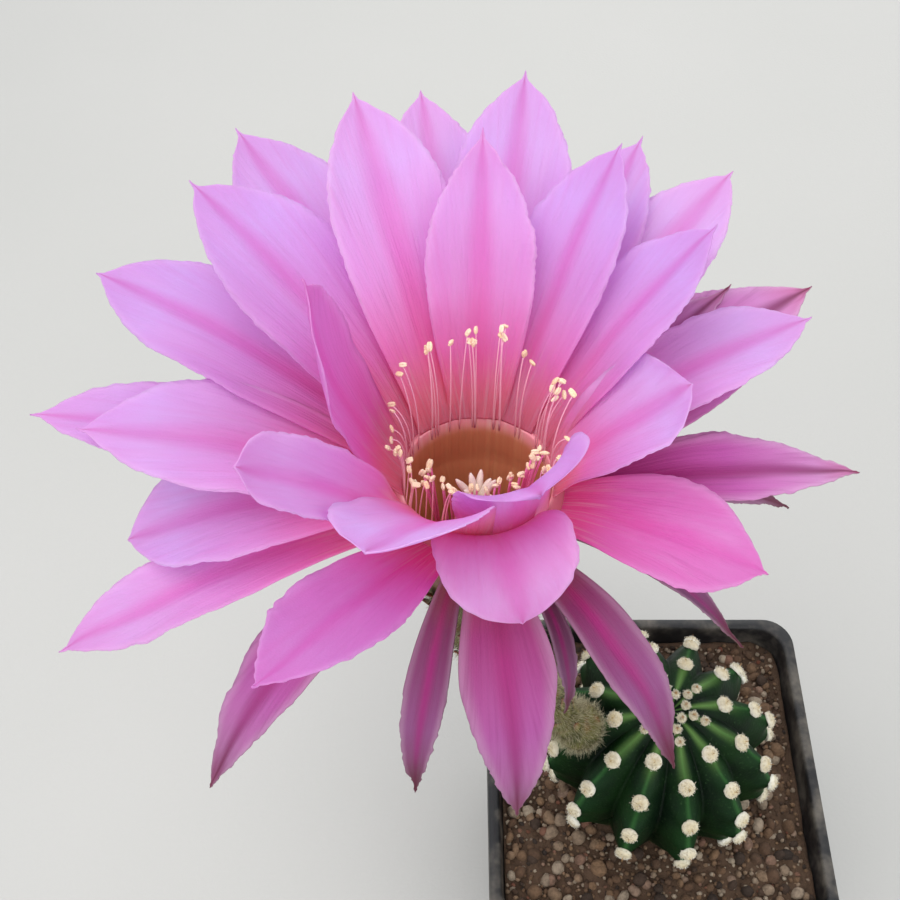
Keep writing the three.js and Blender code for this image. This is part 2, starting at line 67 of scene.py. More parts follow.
# Cactus body
RIBS = 12
BODY_RADIUS = 33
BODY_MIDDLE_Z = 104.5
BODY_CROWN_RISE = 26.5
BODY_UNDER_RISE = 26
RIB_DEPTH = 0.26
RIB_PHASE = 8
RIB_COLUMNS = 24
BODY_FOOT_ANGLE = -50
AREOLES_PER_RIB = 5
AREOLE_LOWEST = -26
AREOLE_STEP = 22
CROWN_AREOLES = (83, 79)
AREOLE_RADIUS = 2.3
WOOL_HAIRS = 150
SPINES_PER_AREOLE = 7

# Flower tube
OVARY_CENTRE = np.array([-25.7, -3.5, 126.4])
OVARY_RADIUS = 6.5
OVARY_AXIS = np.array([-0.68, -0.05, 0.73]) / np.linalg.norm([-0.68, -0.05, 0.73])
FLOWER_CENTRE = np.array([-56.0, -5.0, 259.0])
TUBE_RIM_DROP = 22.6
TUBE_LOWER_PULL = 28
TUBE_UPPER_PULL = 52
THROAT_FLOOR = 0.4
THROAT_MOUTH = 14.7
TUBE_STEPS = 400
SCALES = 64
GOLDEN_ANGLE = 137.5
TUBE_HAIRS = 13500

# Rounded rim that the petals stand in: radius and height of its middle, and its foot
RIM_CENTRE = np.array([15.75, -9.2])
RIM_RADIUS = 0.75
RIM_SHOULDER = np.array([17.5, -11])
RIM_FOOT = np.array([18.4, -21.3])

# Camera and light. A lamp has its name, place and size in metres, and its watts.
CAMERA_OFFSET = [-5.385, -140.76, 194.39]
CAMERA_TILT = 36
CAMERA_LENS = 49.92
SENSOR_WIDTH = 36
SKY_COLOR = (0.93, 0.96, 1.0, 1.0)
SKY_STRENGTH = 0.95
LAMPS = [
    ("key", (-0.35, -0.15, 0.95), 0.7, 4.2),
    ("fill", (0.5, -0.7, 0.6), 0.9, 2.6),
    ("back", (0.1, 0.7, 0.6), 0.8, 2.2),
]
LAMP_AIM = np.array([-0.04, 0, 0.2])
FLOOR_HALF = 3
FLOOR_DROP = 0.0002

# Stamens and pistil. Anthers stand in clumps at even steps, each a little out of place.
RING_CLUMPS = 36
RING_ROOT_RADIUS = 14.9
RING_ROOT_HEIGHT = -12
RING_BEND_RADIUS = 13.8
LOW_CLUMPS = 15
LOW_FIRST_TURN = 203
LOW_LAST_TURN = 352
LOW_STAMEN_SHARE = 0.79
LOW_BEND_RADIUS = 7.2
LOW_BEND_HEIGHT = -28
STIGMA_LOBES = 9
STIGMA_MIDDLE = np.array([0, -3, -12])

# Tepals: direction round the flower, length, width, and slope at the root and the tip.
# dusk is how far an outer tepal has the dusky colour of the outermost ones, and
# flush how deep a pink a petal has: partly its own deeper pink, and partly
# painted shade on petals that lie in shade. swerve turns a tepal sideways towards its tip,
# lean raises one side over the other, and slant makes one side longer than the other. roll
# turns a margin up: its side, the shares of the length where it starts and ends, and degrees.
INNER_WHORL = dict(
    radius=15.4, height=-9, quick=0.55, root=0.5, widest=0.6, blunt=2.6, cup=35, warm=1
)
MIDDLE_WHORL = dict(
    radius=16.5, height=-12, quick=0.55, root=0.45, widest=0.6, blunt=2.6, cup=30, warm=0.2
)
OUTER_WHORL = dict(
    radius=17, height=-20, quick=0.5, root=0.5, widest=0.45, blunt=1.5, cup=35
)


def tepal(toward, long, wide, root_slope, tip_slope, **own):
    return dict(toward=toward, long=long, wide=wide, slope=(root_slope, tip_slope), **own)


INNER_TEPALS = [
    tepal(89, 57, 22, 76, 48, radius=15.2, blunt=2, flush=0.2),
    tepal(115, 67, 25, 72, 38, swerve=-3),
    tepal(62, 59, 20, 72, 38, swerve=-8),
    tepal(145, 66, 27, 70, 25, radius=16.3, root=0.4),
    tepal(37, 54, 19, 67, 32, radius=16, swerve=-6),
    tepal(174, 55, 24, 50, 88, radius=15, blunt=2, cup=26, swerve=8, flush=0.5),
    tepal(221, 61, 15, 62, 52, blunt=6, lean=-38, roll=((1, 0.3, 0.9, 30),), flush=0.2),
    tepal(250, 51, 25, 86, 35, root=0.6, blunt=5, cup=42, swerve=-12, lean=15, flush=0),
    tepal(280, 28, 27, 88, -60, quick=1, blunt=3, widest=0.5, swerve=9, flush=0.3),
    tepal(4, 34, 24, 60, 35, blunt=3, widest=0.7, cup=45, swerve=12),
    tepal(
        296, 28.5, 26, 85, -10, quick=6, root=0.75, widest=0.7,
        blunt=8, cup=55, slant=0.06, flush=0.1,
    ),
]
MIDDLE_TEPALS = [
    tepal(82, 72, 25, 65, 25),
    tepal(99, 70, 23, 62, 20),
    tepal(128, 74, 26, 60, 15),
    tepal(61, 65, 20, 62, 20),
    tepal(46, 68, 22, 60, 15),
    tepal(156, 72, 26, 52, 5),
    tepal(177, 71, 19, 42, 0, flush=0.15),
    tepal(182, 62, 26, 50, 6, blunt=2.2),
    tepal(189, 55, 27, 40, -26, blunt=3),
    tepal(200, 71, 17, 20, -24, height=-15, flush=0.2),
    tepal(240, 63, 19, 42, 29, blunt=2, cup=24, flush=0.45),
    tepal(341, 43, 25, 28, -22, blunt=1.7, swerve=4, flush=0.6),
    tepal(23, 59, 20, 50, 5, swerve=-4),
]
OUTER_TEPALS = [
    tepal(31, 69, 28, 42, 5, blunt=2.2, dusk=0),
    tepal(9, 67, 18, 22, -18, widest=0.55, dusk=0.1),
    tepal(15, 67, 14, 12, -45, dusk=0.7),
    tepal(217, 72, 17, 15, -65, dusk=0.4),
    tepal(254, 54, 9, 15, -88, dusk=0.9),
    tepal(279, 57, 20, 20, -85, widest=0.35, blunt=1.3, swerve=5, dusk=0.5),
    tepal(304, 44, 5, 10, -100, dusk=1),
    tepal(314, 59, 13, 20, -72, swerve=8, dusk=0.85),
    tepal(346, 56, 8, 10, -60, dusk=1),
    tepal(38, 55, 18, 45, 12, dusk=0.15),
    tepal(66, 58, 17, 45, 5, dusk=0.5),
    tepal(96, 60, 17, 42, 5, dusk=0.6),
    tepal(126, 60, 17, 40, 0, dusk=0.5),
    tepal(152, 58, 17, 38, 0, dusk=0.4),
]


# Small helpers

def unit(vectors):
    vectors = np.asarray(vectors, float)
    return vectors / np.linalg.norm(vectors, axis=-1, keepdims=True)


def polar(radius, degrees, z):
    angle = np.radians(degrees)
    parts = np.broadcast_arrays(radius * np.cos(angle), radius * np.sin(angle), z)
    return np.stack(parts, axis=-1).astype(float)


def smoothstep(value, low, high):
    share = np.clip((value - low) / (high - low), 0, 1)
    return share * share * (3 - 2 * share)


def waves(points, size, seed):
    """Soft bumps of about that size, from -1 to 1, always the same for the same seed."""
    random = np.random.default_rng(seed)
    ways = unit(random.normal(size=(9, 3))) * 2 * math.pi / size
    ways *= random.uniform(0.6, 1.5, size=(9, 1))
    phases = random.uniform(0, 2 * math.pi, size=9)
    return np.sin(points @ ways.T + phases).sum(axis=-1) / 4.5


def random_turns(random, count):
    """Random rotations, as 3 by 3 matrices."""
    w, x, y, z = unit(random.normal(size=(count, 4))).T
    rows = [
        1 - 2 * (y * y + z * z), 2 * (x * y - z * w), 2 * (x * z + y * w),
        2 * (x * y + z * w), 1 - 2 * (x * x + z * z), 2 * (y * z - x * w),
        2 * (x * z - y * w), 2 * (y * z + x * w), 1 - 2 * (x * x + y * y),
    ]
    return np.stack(rows, axis=-1).reshape(count, 3, 3)


# Shapes

class Shape:
    """Points, blocks of faces with equally many corners, and values marked on the points."""

    def __init__(self, points, faces, **marks):
        self.points = np.asarray(points, float).reshape(-1, 3)
        self.faces = faces
        count = len(self.points)
        self.marks = {k: np.broadcast_to(np.ravel(v), count) for k, v in marks.items()}


def joined(shapes):
    points = []
    faces = []
    start = 0
    for shape in shapes:
        points.append(shape.points)
        faces += [block + start for block in shape.faces]
        start += len(shape.points)
    marks = {k: np.concatenate([s.marks[k] for s in shapes]) for k in shapes[0].marks}
    return Shape(np.concatenate(points), faces, **marks)


def grid_faces(rows, columns, closed=False):
    i = np.arange(rows - 1)[:, None] * columns
    j = np.arange(columns if closed else columns - 1)[None]
    k = (j + 1) % columns
    return np.stack([i + j, i + k, i + columns + k, i + columns + j], -1).reshape(-1, 4)


def loft(rings, **marks):
    """A closed skin through rings of equally many points, with a fan over both ends."""
    rows, columns = rings.shape[:2]
    hubs = rings[[0, -1]].mean(axis=1)
    points = np.concatenate([rings.reshape(-1, 3), hubs])
    j = np.arange(columns)
    k = (j + 1) % columns
    last = (rows - 1) * columns
    start = np.stack([np.full(columns, rows * columns), k, j], -1)
    end = np.stack([np.full(columns, rows * columns + 1), last + j, last + k], -1)
    full = {}
    for key, value in marks.items():
        value = np.broadcast_to(value, (rows, columns))
        full[key] = np.append(value.ravel(), [value[0].mean(), value[-1].mean()])
    return Shape(points, [grid_faces(rows, columns, closed=True), start, end], **full)


def blade(points, normals, thickness, **marks):
    """A thin closed sheet round a grid of points; side is 1 on the upper face."""
    rows, columns = points.shape[:2]
    offset = normals * thickness[..., None] / 2
    both = np.concatenate([(points + offset).reshape(-1, 3), (points - offset).reshape(-1, 3)])
    under = rows * columns
    top = grid_faces(rows, columns)[:, ::-1]
    bottom = top[:, ::-1] + under
    index = np.arange(under).reshape(rows, columns)
    rim = np.concatenate([index[:-1, 0], index[-1, :-1], index[:0:-1, -1], index[0, :0:-1]])
    after = np.roll(rim, -1)
    edge = np.stack([after, rim, rim + under, after + under], -1)
    full = {k: np.tile(np.broadcast_to(v, (rows, columns)).ravel(), 2) for k, v in marks.items()}
    side = np.repeat([1.0, 0.0], under)
    return Shape(both, [top, bottom, edge], side=side, **full)


def strands(lines, radii, sides, tone=0.5):
    """A closed tapering tube along each line; lines is strands by points by 3."""
    lines = np.asarray(lines, float)
    count, steps = lines.shape[:2]
    radii = np.broadcast_to(radii, (count, steps))
    ahead = unit(np.gradient(lines, axis=1))
    spare = unit(np.cross(lines[:, -1] - lines[:, 0], [0.31, 0.52, 0.79]))[:, None]
    across = unit(spare - ahead * (ahead * spare).sum(-1, keepdims=True))
    other = np.cross(ahead, across)
    angles = 2 * math.pi * np.arange(sides) / sides
    circle = np.cos(angles)[:, None] * across[:, :, None]
    circle = circle + np.sin(angles)[:, None] * other[:, :, None]
    rings = lines[:, :, None] + radii[:, :, None, None] * circle
    starts = np.arange(count) * steps * sides
    skin = (grid_faces(steps, sides, closed=True)[None] + starts[:, None, None]).reshape(-1, 4)
    root = starts[:, None] + np.arange(sides)[::-1]
    tip = starts[:, None] + (steps - 1) * sides + np.arange(sides)
    shape = (count, steps, sides)
    along = np.broadcast_to(np.linspace(0, 1, steps)[None, :, None], shape)
    tones = np.broadcast_to(np.reshape(tone, (-1, 1, 1)), shape)
    return Shape(rings, [skin, root, tip], along=along, tone=tones)


def ball(detail):
    """A unit ball of triangles: 20, 80 or 320 of them for detail 1, 2 or 3."""
    made = bmesh.new()
    bmesh.ops.create_icosphere(made, subdivisions=detail, radius=1)
    points = np.array([v.co[:] for v in made.verts])
    faces = np.array([[v.index for v in f.verts] for f in made.faces])
    made.free()
    return Shape(points, [faces])


def copies(base, places, turns, sizes, tone):
    """base at each place, scaled by its own three sizes and then turned."""
    count = len(places)
    scaled = base.points[None] * sizes[:, None]
    points = np.einsum("nij,nkj->nki", turns, scaled) + places[:, None]
    starts = (np.arange(count) * len(base.points))[:, None, None]
    faces = [(b[None] + starts).reshape(-1, b.shape[1]) for b in base.faces]
    return Shape(points, faces, tone=np.repeat(tone, len(base.points)))


def new_mesh(name, shape):
    mesh = bpy.data.meshes.new(name)
    faces = [face for block in shape.faces for face in block.tolist()]
    mesh.from_pydata((shape.points * MM).tolist(), [], faces)
    return mesh


def add_piece(name, node, material, shape):
    mesh = new_mesh(name, shape)
    for key, values in shape.marks.items():
        mark = mesh.attributes.new(key, "FLOAT", "POINT")
        mark.data.foreach_set("value", values.astype(np.float32))
    mesh.polygons.foreach_set("use_smooth", [True] * len(mesh.polygons))
    mesh.materials.append(material)
    piece = bpy.data.objects.new(name, mesh)
    scene.collection.objects.link(piece)
    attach(piece, "root")
    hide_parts(node)
    return piece


# Materials

def srgb(red, green, blue):
    """A colour from its values of 0 to 255, as shaders take it."""
    parts = np.array([red, green, blue]) / 255
    linear = np.where(parts > 0.04045, ((parts + 0.055) / 1.055) ** 2.4, parts / 12.92)
    return (*linear.tolist(), 1.0)


class Graph:
    """A material and its nodes."""

    def __init__(self, name):
        self.material = bpy.data.materials.new(name)
        self.material.use_nodes = True
        self.tree = self.material.node_tree
        self.tree.nodes.clear()

    def add(self, kind, inputs=None, **settings):
        node = self.tree.nodes.new("ShaderNode" + kind)
        for key, value in settings.items():
            setattr(node, key, value)
        for key, value in (inputs or {}).items():
            if isinstance(value, bpy.types.NodeSocket):
                self.tree.links.new(value, node.inputs[key])
            else:
                node.inputs[key].default_value = value
        return node

    def mark(self, name):
        return self.add("Attribute", attribute_name=name).outputs["Fac"]

    def place(self):
        return self.add("TexCoord").outputs["Object"]

    def vector(self, x, y, z):
        return self.add("CombineXYZ", {"X": x, "Y": y, "Z": z}).outputs[0]

    def maths(self, operation, first, second=0.0):
        return self.add("Math", {0: first, 1: second}, operation=operation).outputs[0]

    def fade(self, value, low, high, start=0.0, end=1.0):
        inputs = {"Value": value, "From Min": low, "From Max": high, "To Min": start, "To Max": end}
        node = self.add("MapRange", inputs, interpolation_type="SMOOTHSTEP")
        return node.outputs["Result"]

    def mix(self, factor, first, second, blend="MIX"):
        first, second = [srgb(*c) if isinstance(c, tuple) else c for c in (first, second)]
        inputs = {0: factor, 6: first, 7: second}
        return self.add("Mix", inputs, data_type="RGBA", blend_type=blend).outputs[2]

    def ramp(self, factor, stops):
        node = self.add("ValToRGB", {"Fac": factor})
        elements = node.color_ramp.elements
        while len(elements) < len(stops):
            elements.new(0.5)
        for element, (position, color) in zip(elements, stops):
            element.position = position
            element.color = srgb(*color)
        return node.outputs["Color"]

    def noise(self, vector, scale, detail=2.0, roughness=0.5):
        inputs = {"Vector": vector, "Scale": scale, "Detail": detail, "Roughness": roughness}
        return self.add("TexNoise", inputs).outputs["Fac"]

    def bump(self, height, distance, under=None):
        inputs = {"Height": height, "Distance": distance, "Strength": 1.0}
        if under is not None:
            inputs["Normal"] = under
        return self.add("Bump", inputs).outputs["Normal"]

    def finish(self, color, roughness, normal, through=0.0, **constants):
        inputs = {"Base Color": color, "Roughness": roughness, "Normal": normal}
        inputs.update({k.replace("_", " "): v for k, v in constants.items()})
        shader = self.add("BsdfPrincipled", inputs).outputs[0]
        if through:
            lit = self.add("BsdfTranslucent", {"Color": color, "Normal": normal}).outputs[0]
            shader = self.add("MixShader", {0: through, 1: shader, 2: lit}).outputs[0]
        self.add("OutputMaterial", {"Surface": shader})
        return self.material


def veins(graph, along, tone, fineness=0.9):
    """Fine lines that run the length of a tepal and fan out towards its margins."""
    line = graph.vector(
        graph.maths("MULTIPLY", graph.mark("lane"), fineness),
        graph.maths("MULTIPLY", along, 2.2),
        graph.maths("MULTIPLY", tone, 60.0),
    )
    return graph.noise(line, 1.0, 3.0, 0.6)


def petal_material():
    graph = Graph("petal")
    along = graph.mark("along")
    tone = graph.mark("tone")
    off = graph.maths("ABSOLUTE", graph.mark("across"))
    lines = veins(graph, along, tone)
    folds = veins(graph, along, tone, 0.22)
    field = graph.ramp(along, [
        (0.0, (255, 160, 190)), (0.28, (251, 158, 220)), (0.5, (242, 190, 240)),
        (0.8, (234, 208, 248)), (1.0, (231, 190, 238)),
    ])
    stripe = graph.ramp(along, [
        (0.0, (255, 138, 172)), (0.18, (252, 114, 184)), (0.55, (242, 148, 222)),
        (0.85, (231, 162, 226)), (0.97, (223, 142, 210)), (1.0, (198, 92, 152)),
    ])
    width = graph.fade(tone, 0.0, 1.0, 0.26, 0.42)
    middle = graph.fade(off, 0.0, width, 0.75, 0.0)
    color = graph.mix(middle, field, stripe)
    # Deeper pink on some petals: partly their own colour, partly painted shade on petals that lie
    # in shade.
    color = graph.mix(graph.mark("flush"), color, (242, 90, 194))
    root = graph.mix(graph.mark("warm"), (255, 88, 182), (255, 160, 178))
    color = graph.mix(graph.fade(along, 0.02, 0.3, 1.0, 0.0), color, root)
    far = graph.fade(along, 0.2, 0.6, 0.0, 0.28)
    margin = graph.maths("MULTIPLY", graph.fade(off, 0.75, 1.0), far)
    color = graph.mix(margin, color, (250, 220, 246))
    color = graph.mix(graph.fade(lines, 0.4, 0.8, 0.0, 0.12), color, (232, 96, 184))
    color = graph.mix(graph.fade(folds, 0.45, 0.75, 0.0, 0.22), color, (246, 204, 240))
    near = graph.fade(along, 0.05, 0.4, 1.0, 0.0)
    streak = graph.maths("MULTIPLY", graph.fade(lines, 0.48, 0.68, 0.0, 0.65), near)
    color = graph.mix(streak, color, (252, 206, 214))
    patch = graph.noise(graph.place(), 45.0, 2.0)
    color = graph.mix(graph.fade(patch, 0.35, 0.75, 0.0, 0.2), color, (240, 182, 230))
    tint = graph.mix(tone, (244, 236, 250), (255, 255, 255))
    color = graph.mix(1.0, color, tint, "MULTIPLY")
    grain = graph.noise(graph.place(), 2600.0, 1.0)
    normal = graph.bump(folds, 0.0007)
    normal = graph.bump(lines, 0.0002, normal)
    normal = graph.bump(grain, 0.00005, normal)
    roughness = graph.fade(lines, 0.2, 0.8, 0.45, 0.6)
    return graph.finish(color, roughness, normal, 0.54, Specular_IOR_Level=0.3)


def outer_material():
    graph = Graph("outer_tepal")
    along = graph.mark("along")
    tone = graph.mark("tone")
    dusk = graph.mark("dusk")
    off = graph.maths("ABSOLUTE", graph.mark("across"))
    lines = veins(graph, along, tone)
    pink = graph.ramp(along, [
        (0.0, (212, 84, 120)), (0.2, (212, 70, 160)), (0.55, (216, 100, 192)),
        (0.85, (222, 150, 210)), (0.96, (210, 126, 178)), (1.0, (156, 68, 100)),
    ])
    dusky = graph.ramp(along, [
        (0.0, (140, 84, 76)), (0.2, (126, 48, 92)), (0.6, (140, 82, 128)),
        (0.85, (124, 54, 90)), (1.0, (92, 28, 48)),
    ])
    color = graph.mix(dusk, pink, dusky)
    stripe = graph.ramp(along, [
        (0.0, (150, 44, 76)), (0.3, (178, 30, 124)), (0.7, (156, 46, 120)), (1.0, (104, 26, 58)),
    ])
    color = graph.mix(graph.fade(off, 0.0, 0.42, 0.8, 0.0), color, stripe)
    edge = graph.mix(graph.fade(dusk, 0.1, 0.7), (236, 190, 228), (186, 146, 172))
    pale = graph.fade(dusk, 0.0, 1.0, 0.4, 0.6)
    margin = graph.maths("MULTIPLY", graph.fade(off, 0.62, 1.0), pale)
    color = graph.mix(margin, color, edge)
    color = graph.mix(graph.fade(lines, 0.4, 0.8, 0.0, 0.28), color, (136, 38, 104))
    dark = graph.fade(dusk, 0.1, 0.8, 0.1, 0.9)
    tip = graph.maths("MULTIPLY", graph.fade(along, 0.72, 1.0), dark)
    color = graph.mix(tip, color, (98, 24, 50))
    under = graph.fade(graph.mark("side"), 0.0, 1.0, 0.45, 0.0)
    color = graph.mix(under, color, (142, 112, 104))
    grain = graph.noise(graph.place(), 2600.0, 1.0)
    normal = graph.bump(lines, 0.00026)
    normal = graph.bump(grain, 0.00005, normal)
    roughness = graph.fade(lines, 0.2, 0.8, 0.42, 0.56)
    return graph.finish(color, roughness, normal, 0.25, Specular_IOR_Level=0.35)


def tube_material():
    graph = Graph("hairy_tube")
    place = graph.place()
    inside = graph.mark("inside")
    blush = graph.mark("blush")
    patch = graph.noise(place, 160.0, 3.0)
    skin = graph.ramp(patch, [(0.3, (70, 72, 30)), (0.5, (104, 100, 48)), (0.7, (122, 84, 50))])
    skin = graph.mix(blush, skin, (184, 88, 106))
    lines = graph.vector(
        graph.maths("MULTIPLY", graph.mark("east"), 9.0),
        graph.maths("MULTIPLY", graph.mark("north"), 9.0),
        graph.maths("MULTIPLY", graph.mark("along"), 3.0),
    )
    ridge = graph.noise(lines, 1.0, 2.0)
    deep = graph.ramp(graph.mark("along"), [
        (0.0, (70, 56, 18)), (0.55, (124, 90, 34)), (0.78, (176, 116, 60)), (1.0, (212, 138, 96)),
    ])
    deep = graph.mix(graph.fade(ridge, 0.45, 0.7, 0.0, 0.2), deep, (240, 190, 130))
    wall = graph.mix(graph.fade(ridge, 0.45, 0.7, 0.0, 0.8), (255, 172, 182), (255, 222, 212))
    deep = graph.mix(blush, deep, wall)
    color = graph.mix(inside, skin, deep)
    normal = graph.bump(graph.mix(inside, patch, ridge), 0.0006)
    roughness = graph.fade(patch, 0.2, 0.8, 0.6, 0.8)
    return graph.finish(color, roughness, normal)


def scale_material():
    graph = Graph("tube_scale")
    along = graph.mark("along")
    lines = veins(graph, along, graph.mark("tone"))
    color = graph.ramp(along, [(0.0, (98, 104, 46)), (0.6, (122, 108, 58)), (1.0, (128, 66, 52))])
    color = graph.mix(graph.fade(lines, 0.4, 0.7, 0.0, 0.4), color, (70, 76, 32))
    normal = graph.bump(lines, 0.0003)
    return graph.finish(color, graph.fade(lines, 0.2, 0.8, 0.5, 0.7), normal)


def strand_material(name, root, tip, roughness):
    """Fine hair, wool, spine or filament, from its root colour to its tip colour."""
    graph = Graph(name)
    along = graph.mark("along")
    tone = graph.mark("tone")
    speckle = graph.noise(graph.place(), 900.0, 2.0)
    color = graph.mix(along, root, tip)
    color = graph.mix(graph.fade(tone, 0.0, 1.0, 0.0, 0.45), color, root)
    color = graph.mix(graph.fade(speckle, 0.4, 0.8, 0.0, 0.25), color, tip)
    normal = graph.bump(speckle, 0.0001)
    gloss = graph.fade(speckle, 0.2, 0.8, roughness - 0.08, roughness + 0.08)
    return graph.finish(color, gloss, normal)


def anther_material():
    graph = Graph("anther")
    place = graph.place()
    tone = graph.mark("tone")
    pollen = graph.noise(place, 3200.0, 2.0, 0.7)
    color = graph.mix(tone, (252, 234, 198), (243, 206, 160))
    color = graph.mix(graph.fade(pollen, 0.45, 0.7, 0.0, 0.5), color, (255, 244, 218))
    normal = graph.bump(pollen, 0.00025)
    return graph.finish(color, graph.fade(pollen, 0.2, 0.8, 0.7, 0.9), normal)


def body_material():
    graph = Graph("cactus_flesh")
    place = graph.place()
    crest = graph.mark("crest")
    patch = graph.noise(place, 90.0, 3.0)
    pores = graph.noise(place, 1500.0, 2.0)
    # Dark green rib colour: darker still in the rib valleys as painted shade, and lighter along the
    # crests as painted highlight.
    color = graph.ramp(crest, [
        (0.0, (2, 14, 5)), (0.5, (6, 29, 9)), (0.86, (13, 43, 17)), (1.0, (40, 82, 39)),
    ])
    color = graph.mix(graph.fade(patch, 0.35, 0.7, 0.0, 0.35), color, (26, 62, 18))
    color = graph.mix(graph.fade(pores, 0.62, 0.75, 0.0, 0.2), color, (84, 124, 74))
    # Painted highlight: lighter yellow-green on the crests near the crown, which face the light.
    ridge = graph.fade(crest, 0.4, 1.0, 0.0, 0.6)
    crown_crest_light = graph.maths("MULTIPLY", graph.fade(graph.mark("height"), 0.86, 1.0), ridge)
    color = graph.mix(crown_crest_light, color, (104, 140, 72))
    age = graph.fade(graph.mark("height"), 0.0, 0.28, 0.7, 0.0)
    color = graph.mix(age, color, (112, 100, 62))
    normal = graph.bump(pores, 0.00012)
    normal = graph.bump(patch, 0.0008, normal)
    roughness = graph.fade(patch, 0.2, 0.8, 0.46, 0.62)
    return graph.finish(color, roughness, normal, Specular_IOR_Level=0.12)


def grain_material(name, stops, size):
    """Stones and crumbs, each in its own tone, with a rough broken surface."""
    graph = Graph(name)
    place = graph.place()
    pits = graph.noise(place, size, 4.0, 0.7)
    color = graph.ramp(graph.mark("tone"), stops)
    color = graph.mix(graph.fade(pits, 0.35, 0.7, 0.0, 0.45), color, (52, 40, 30))
    normal = graph.bump(pits, 0.0008)
    return graph.finish(color, graph.fade(pits, 0.2, 0.8, 0.8, 0.98), normal)


def pot_material():
    graph = Graph("pot_plastic")
    place = graph.place()
    grain = graph.noise(place, 2200.0, 2.0)
    smear = graph.noise(place, 60.0, 4.0, 0.65)
    dust = graph.maths("MULTIPLY", graph.fade(smear, 0.42, 0.7), graph.mark("dust"))
    color = graph.mix(graph.fade(smear, 0.3, 0.7), (22, 22, 24), (32, 32, 33))
    color = graph.mix(dust, color, (128, 120, 108))
    normal = graph.bump(grain, 0.0001)
    roughness = graph.fade(smear, 0.3, 0.75, 0.38, 0.62)
    return graph.finish(color, roughness, normal, Specular_IOR_Level=0.45)


def floor_material():
    graph = Graph("floor")
    cloud = graph.noise(graph.place(), 6.0, 3.0)
    color = graph.mix(cloud, (184, 183, 178), (192, 190, 186))
    normal = graph.bump(graph.noise(graph.place(), 700.0, 2.0), 0.0001)
    return graph.finish(color, graph.fade(cloud, 0.2, 0.8, 0.7, 0.8), normal)


# Camera, light and floor

def set_stage():
    camera = bpy.data.objects.new("camera", bpy.data.cameras.new("camera"))
    camera.data.sensor_width = SENSOR_WIDTH
    camera.data.lens = CAMERA_LENS
    camera.location = (FLOWER_CENTRE + CAMERA_OFFSET) * MM
    camera.rotation_euler = (math.radians(CAMERA_TILT), 0, 0)
    scene.collection.objects.link(camera)
    scene.camera = camera
    world = bpy.data.worlds.new("studio")
    world.use_nodes = True
    sky = world.node_tree.nodes["Background"].inputs
    sky["Color"].default_value = SKY_COLOR
    sky["Strength"].default_value = SKY_STRENGTH
    scene.world = world
    scene.view_settings.view_transform = "Standard"
    for name, place, size, energy in LAMPS:
        lamp = bpy.data.objects.new(name, bpy.data.lights.new(name, "AREA"))
        lamp.data.size = size
        lamp.data.energy = energy
        lamp.location = place
        aim = mathutils.Vector(LAMP_AIM - lamp.location)
        lamp.rotation_euler = aim.to_track_quat("-Z", "Y").to_euler()
        scene.collection.objects.link(lamp)
    mesh = bpy.data.meshes.new("floor")
    half = FLOOR_HALF
    corners = [(-half, -half, 0), (half, -half, 0), (half, half, 0), (-half, half, 0)]
    mesh.from_pydata(corners, [], [(0, 1, 2, 3)])
    mesh.materials.append(floor_material())
    floor = bpy.data.objects.new("floor", mesh)
    floor.location.z = -FLOOR_DROP
    scene.collection.objects.link(floor)


# Pot and soil

def rounded_square(half, corner, z, per_corner=9, per_side=10):
    """Points round a square with rounded corners, anticlockwise from above."""
    turns = np.linspace(0, 90, per_corner)
    ring = []
    for quarter in range(4):
        middle = polar((half - corner) * math.sqrt(2), 45 + 90 * quarter, z)
        arc = middle + polar(corner, turns + 90 * quarter, 0)
        straight = 2 * (half - corner)
        way = polar(1, 180 + 90 * quarter, 0)
        side = arc[-1] + way * (straight * np.arange(1, per_side) / per_side)[:, None]
        ring += [arc, side]
    return np.concatenate(ring)


def pot_half(z):
    body = POT_TOP_WIDTH / 2 - LIP_OVERHANG
    return POT_BASE_WIDTH / 2 + (body - POT_BASE_WIDTH / 2) * z / POT_HEIGHT


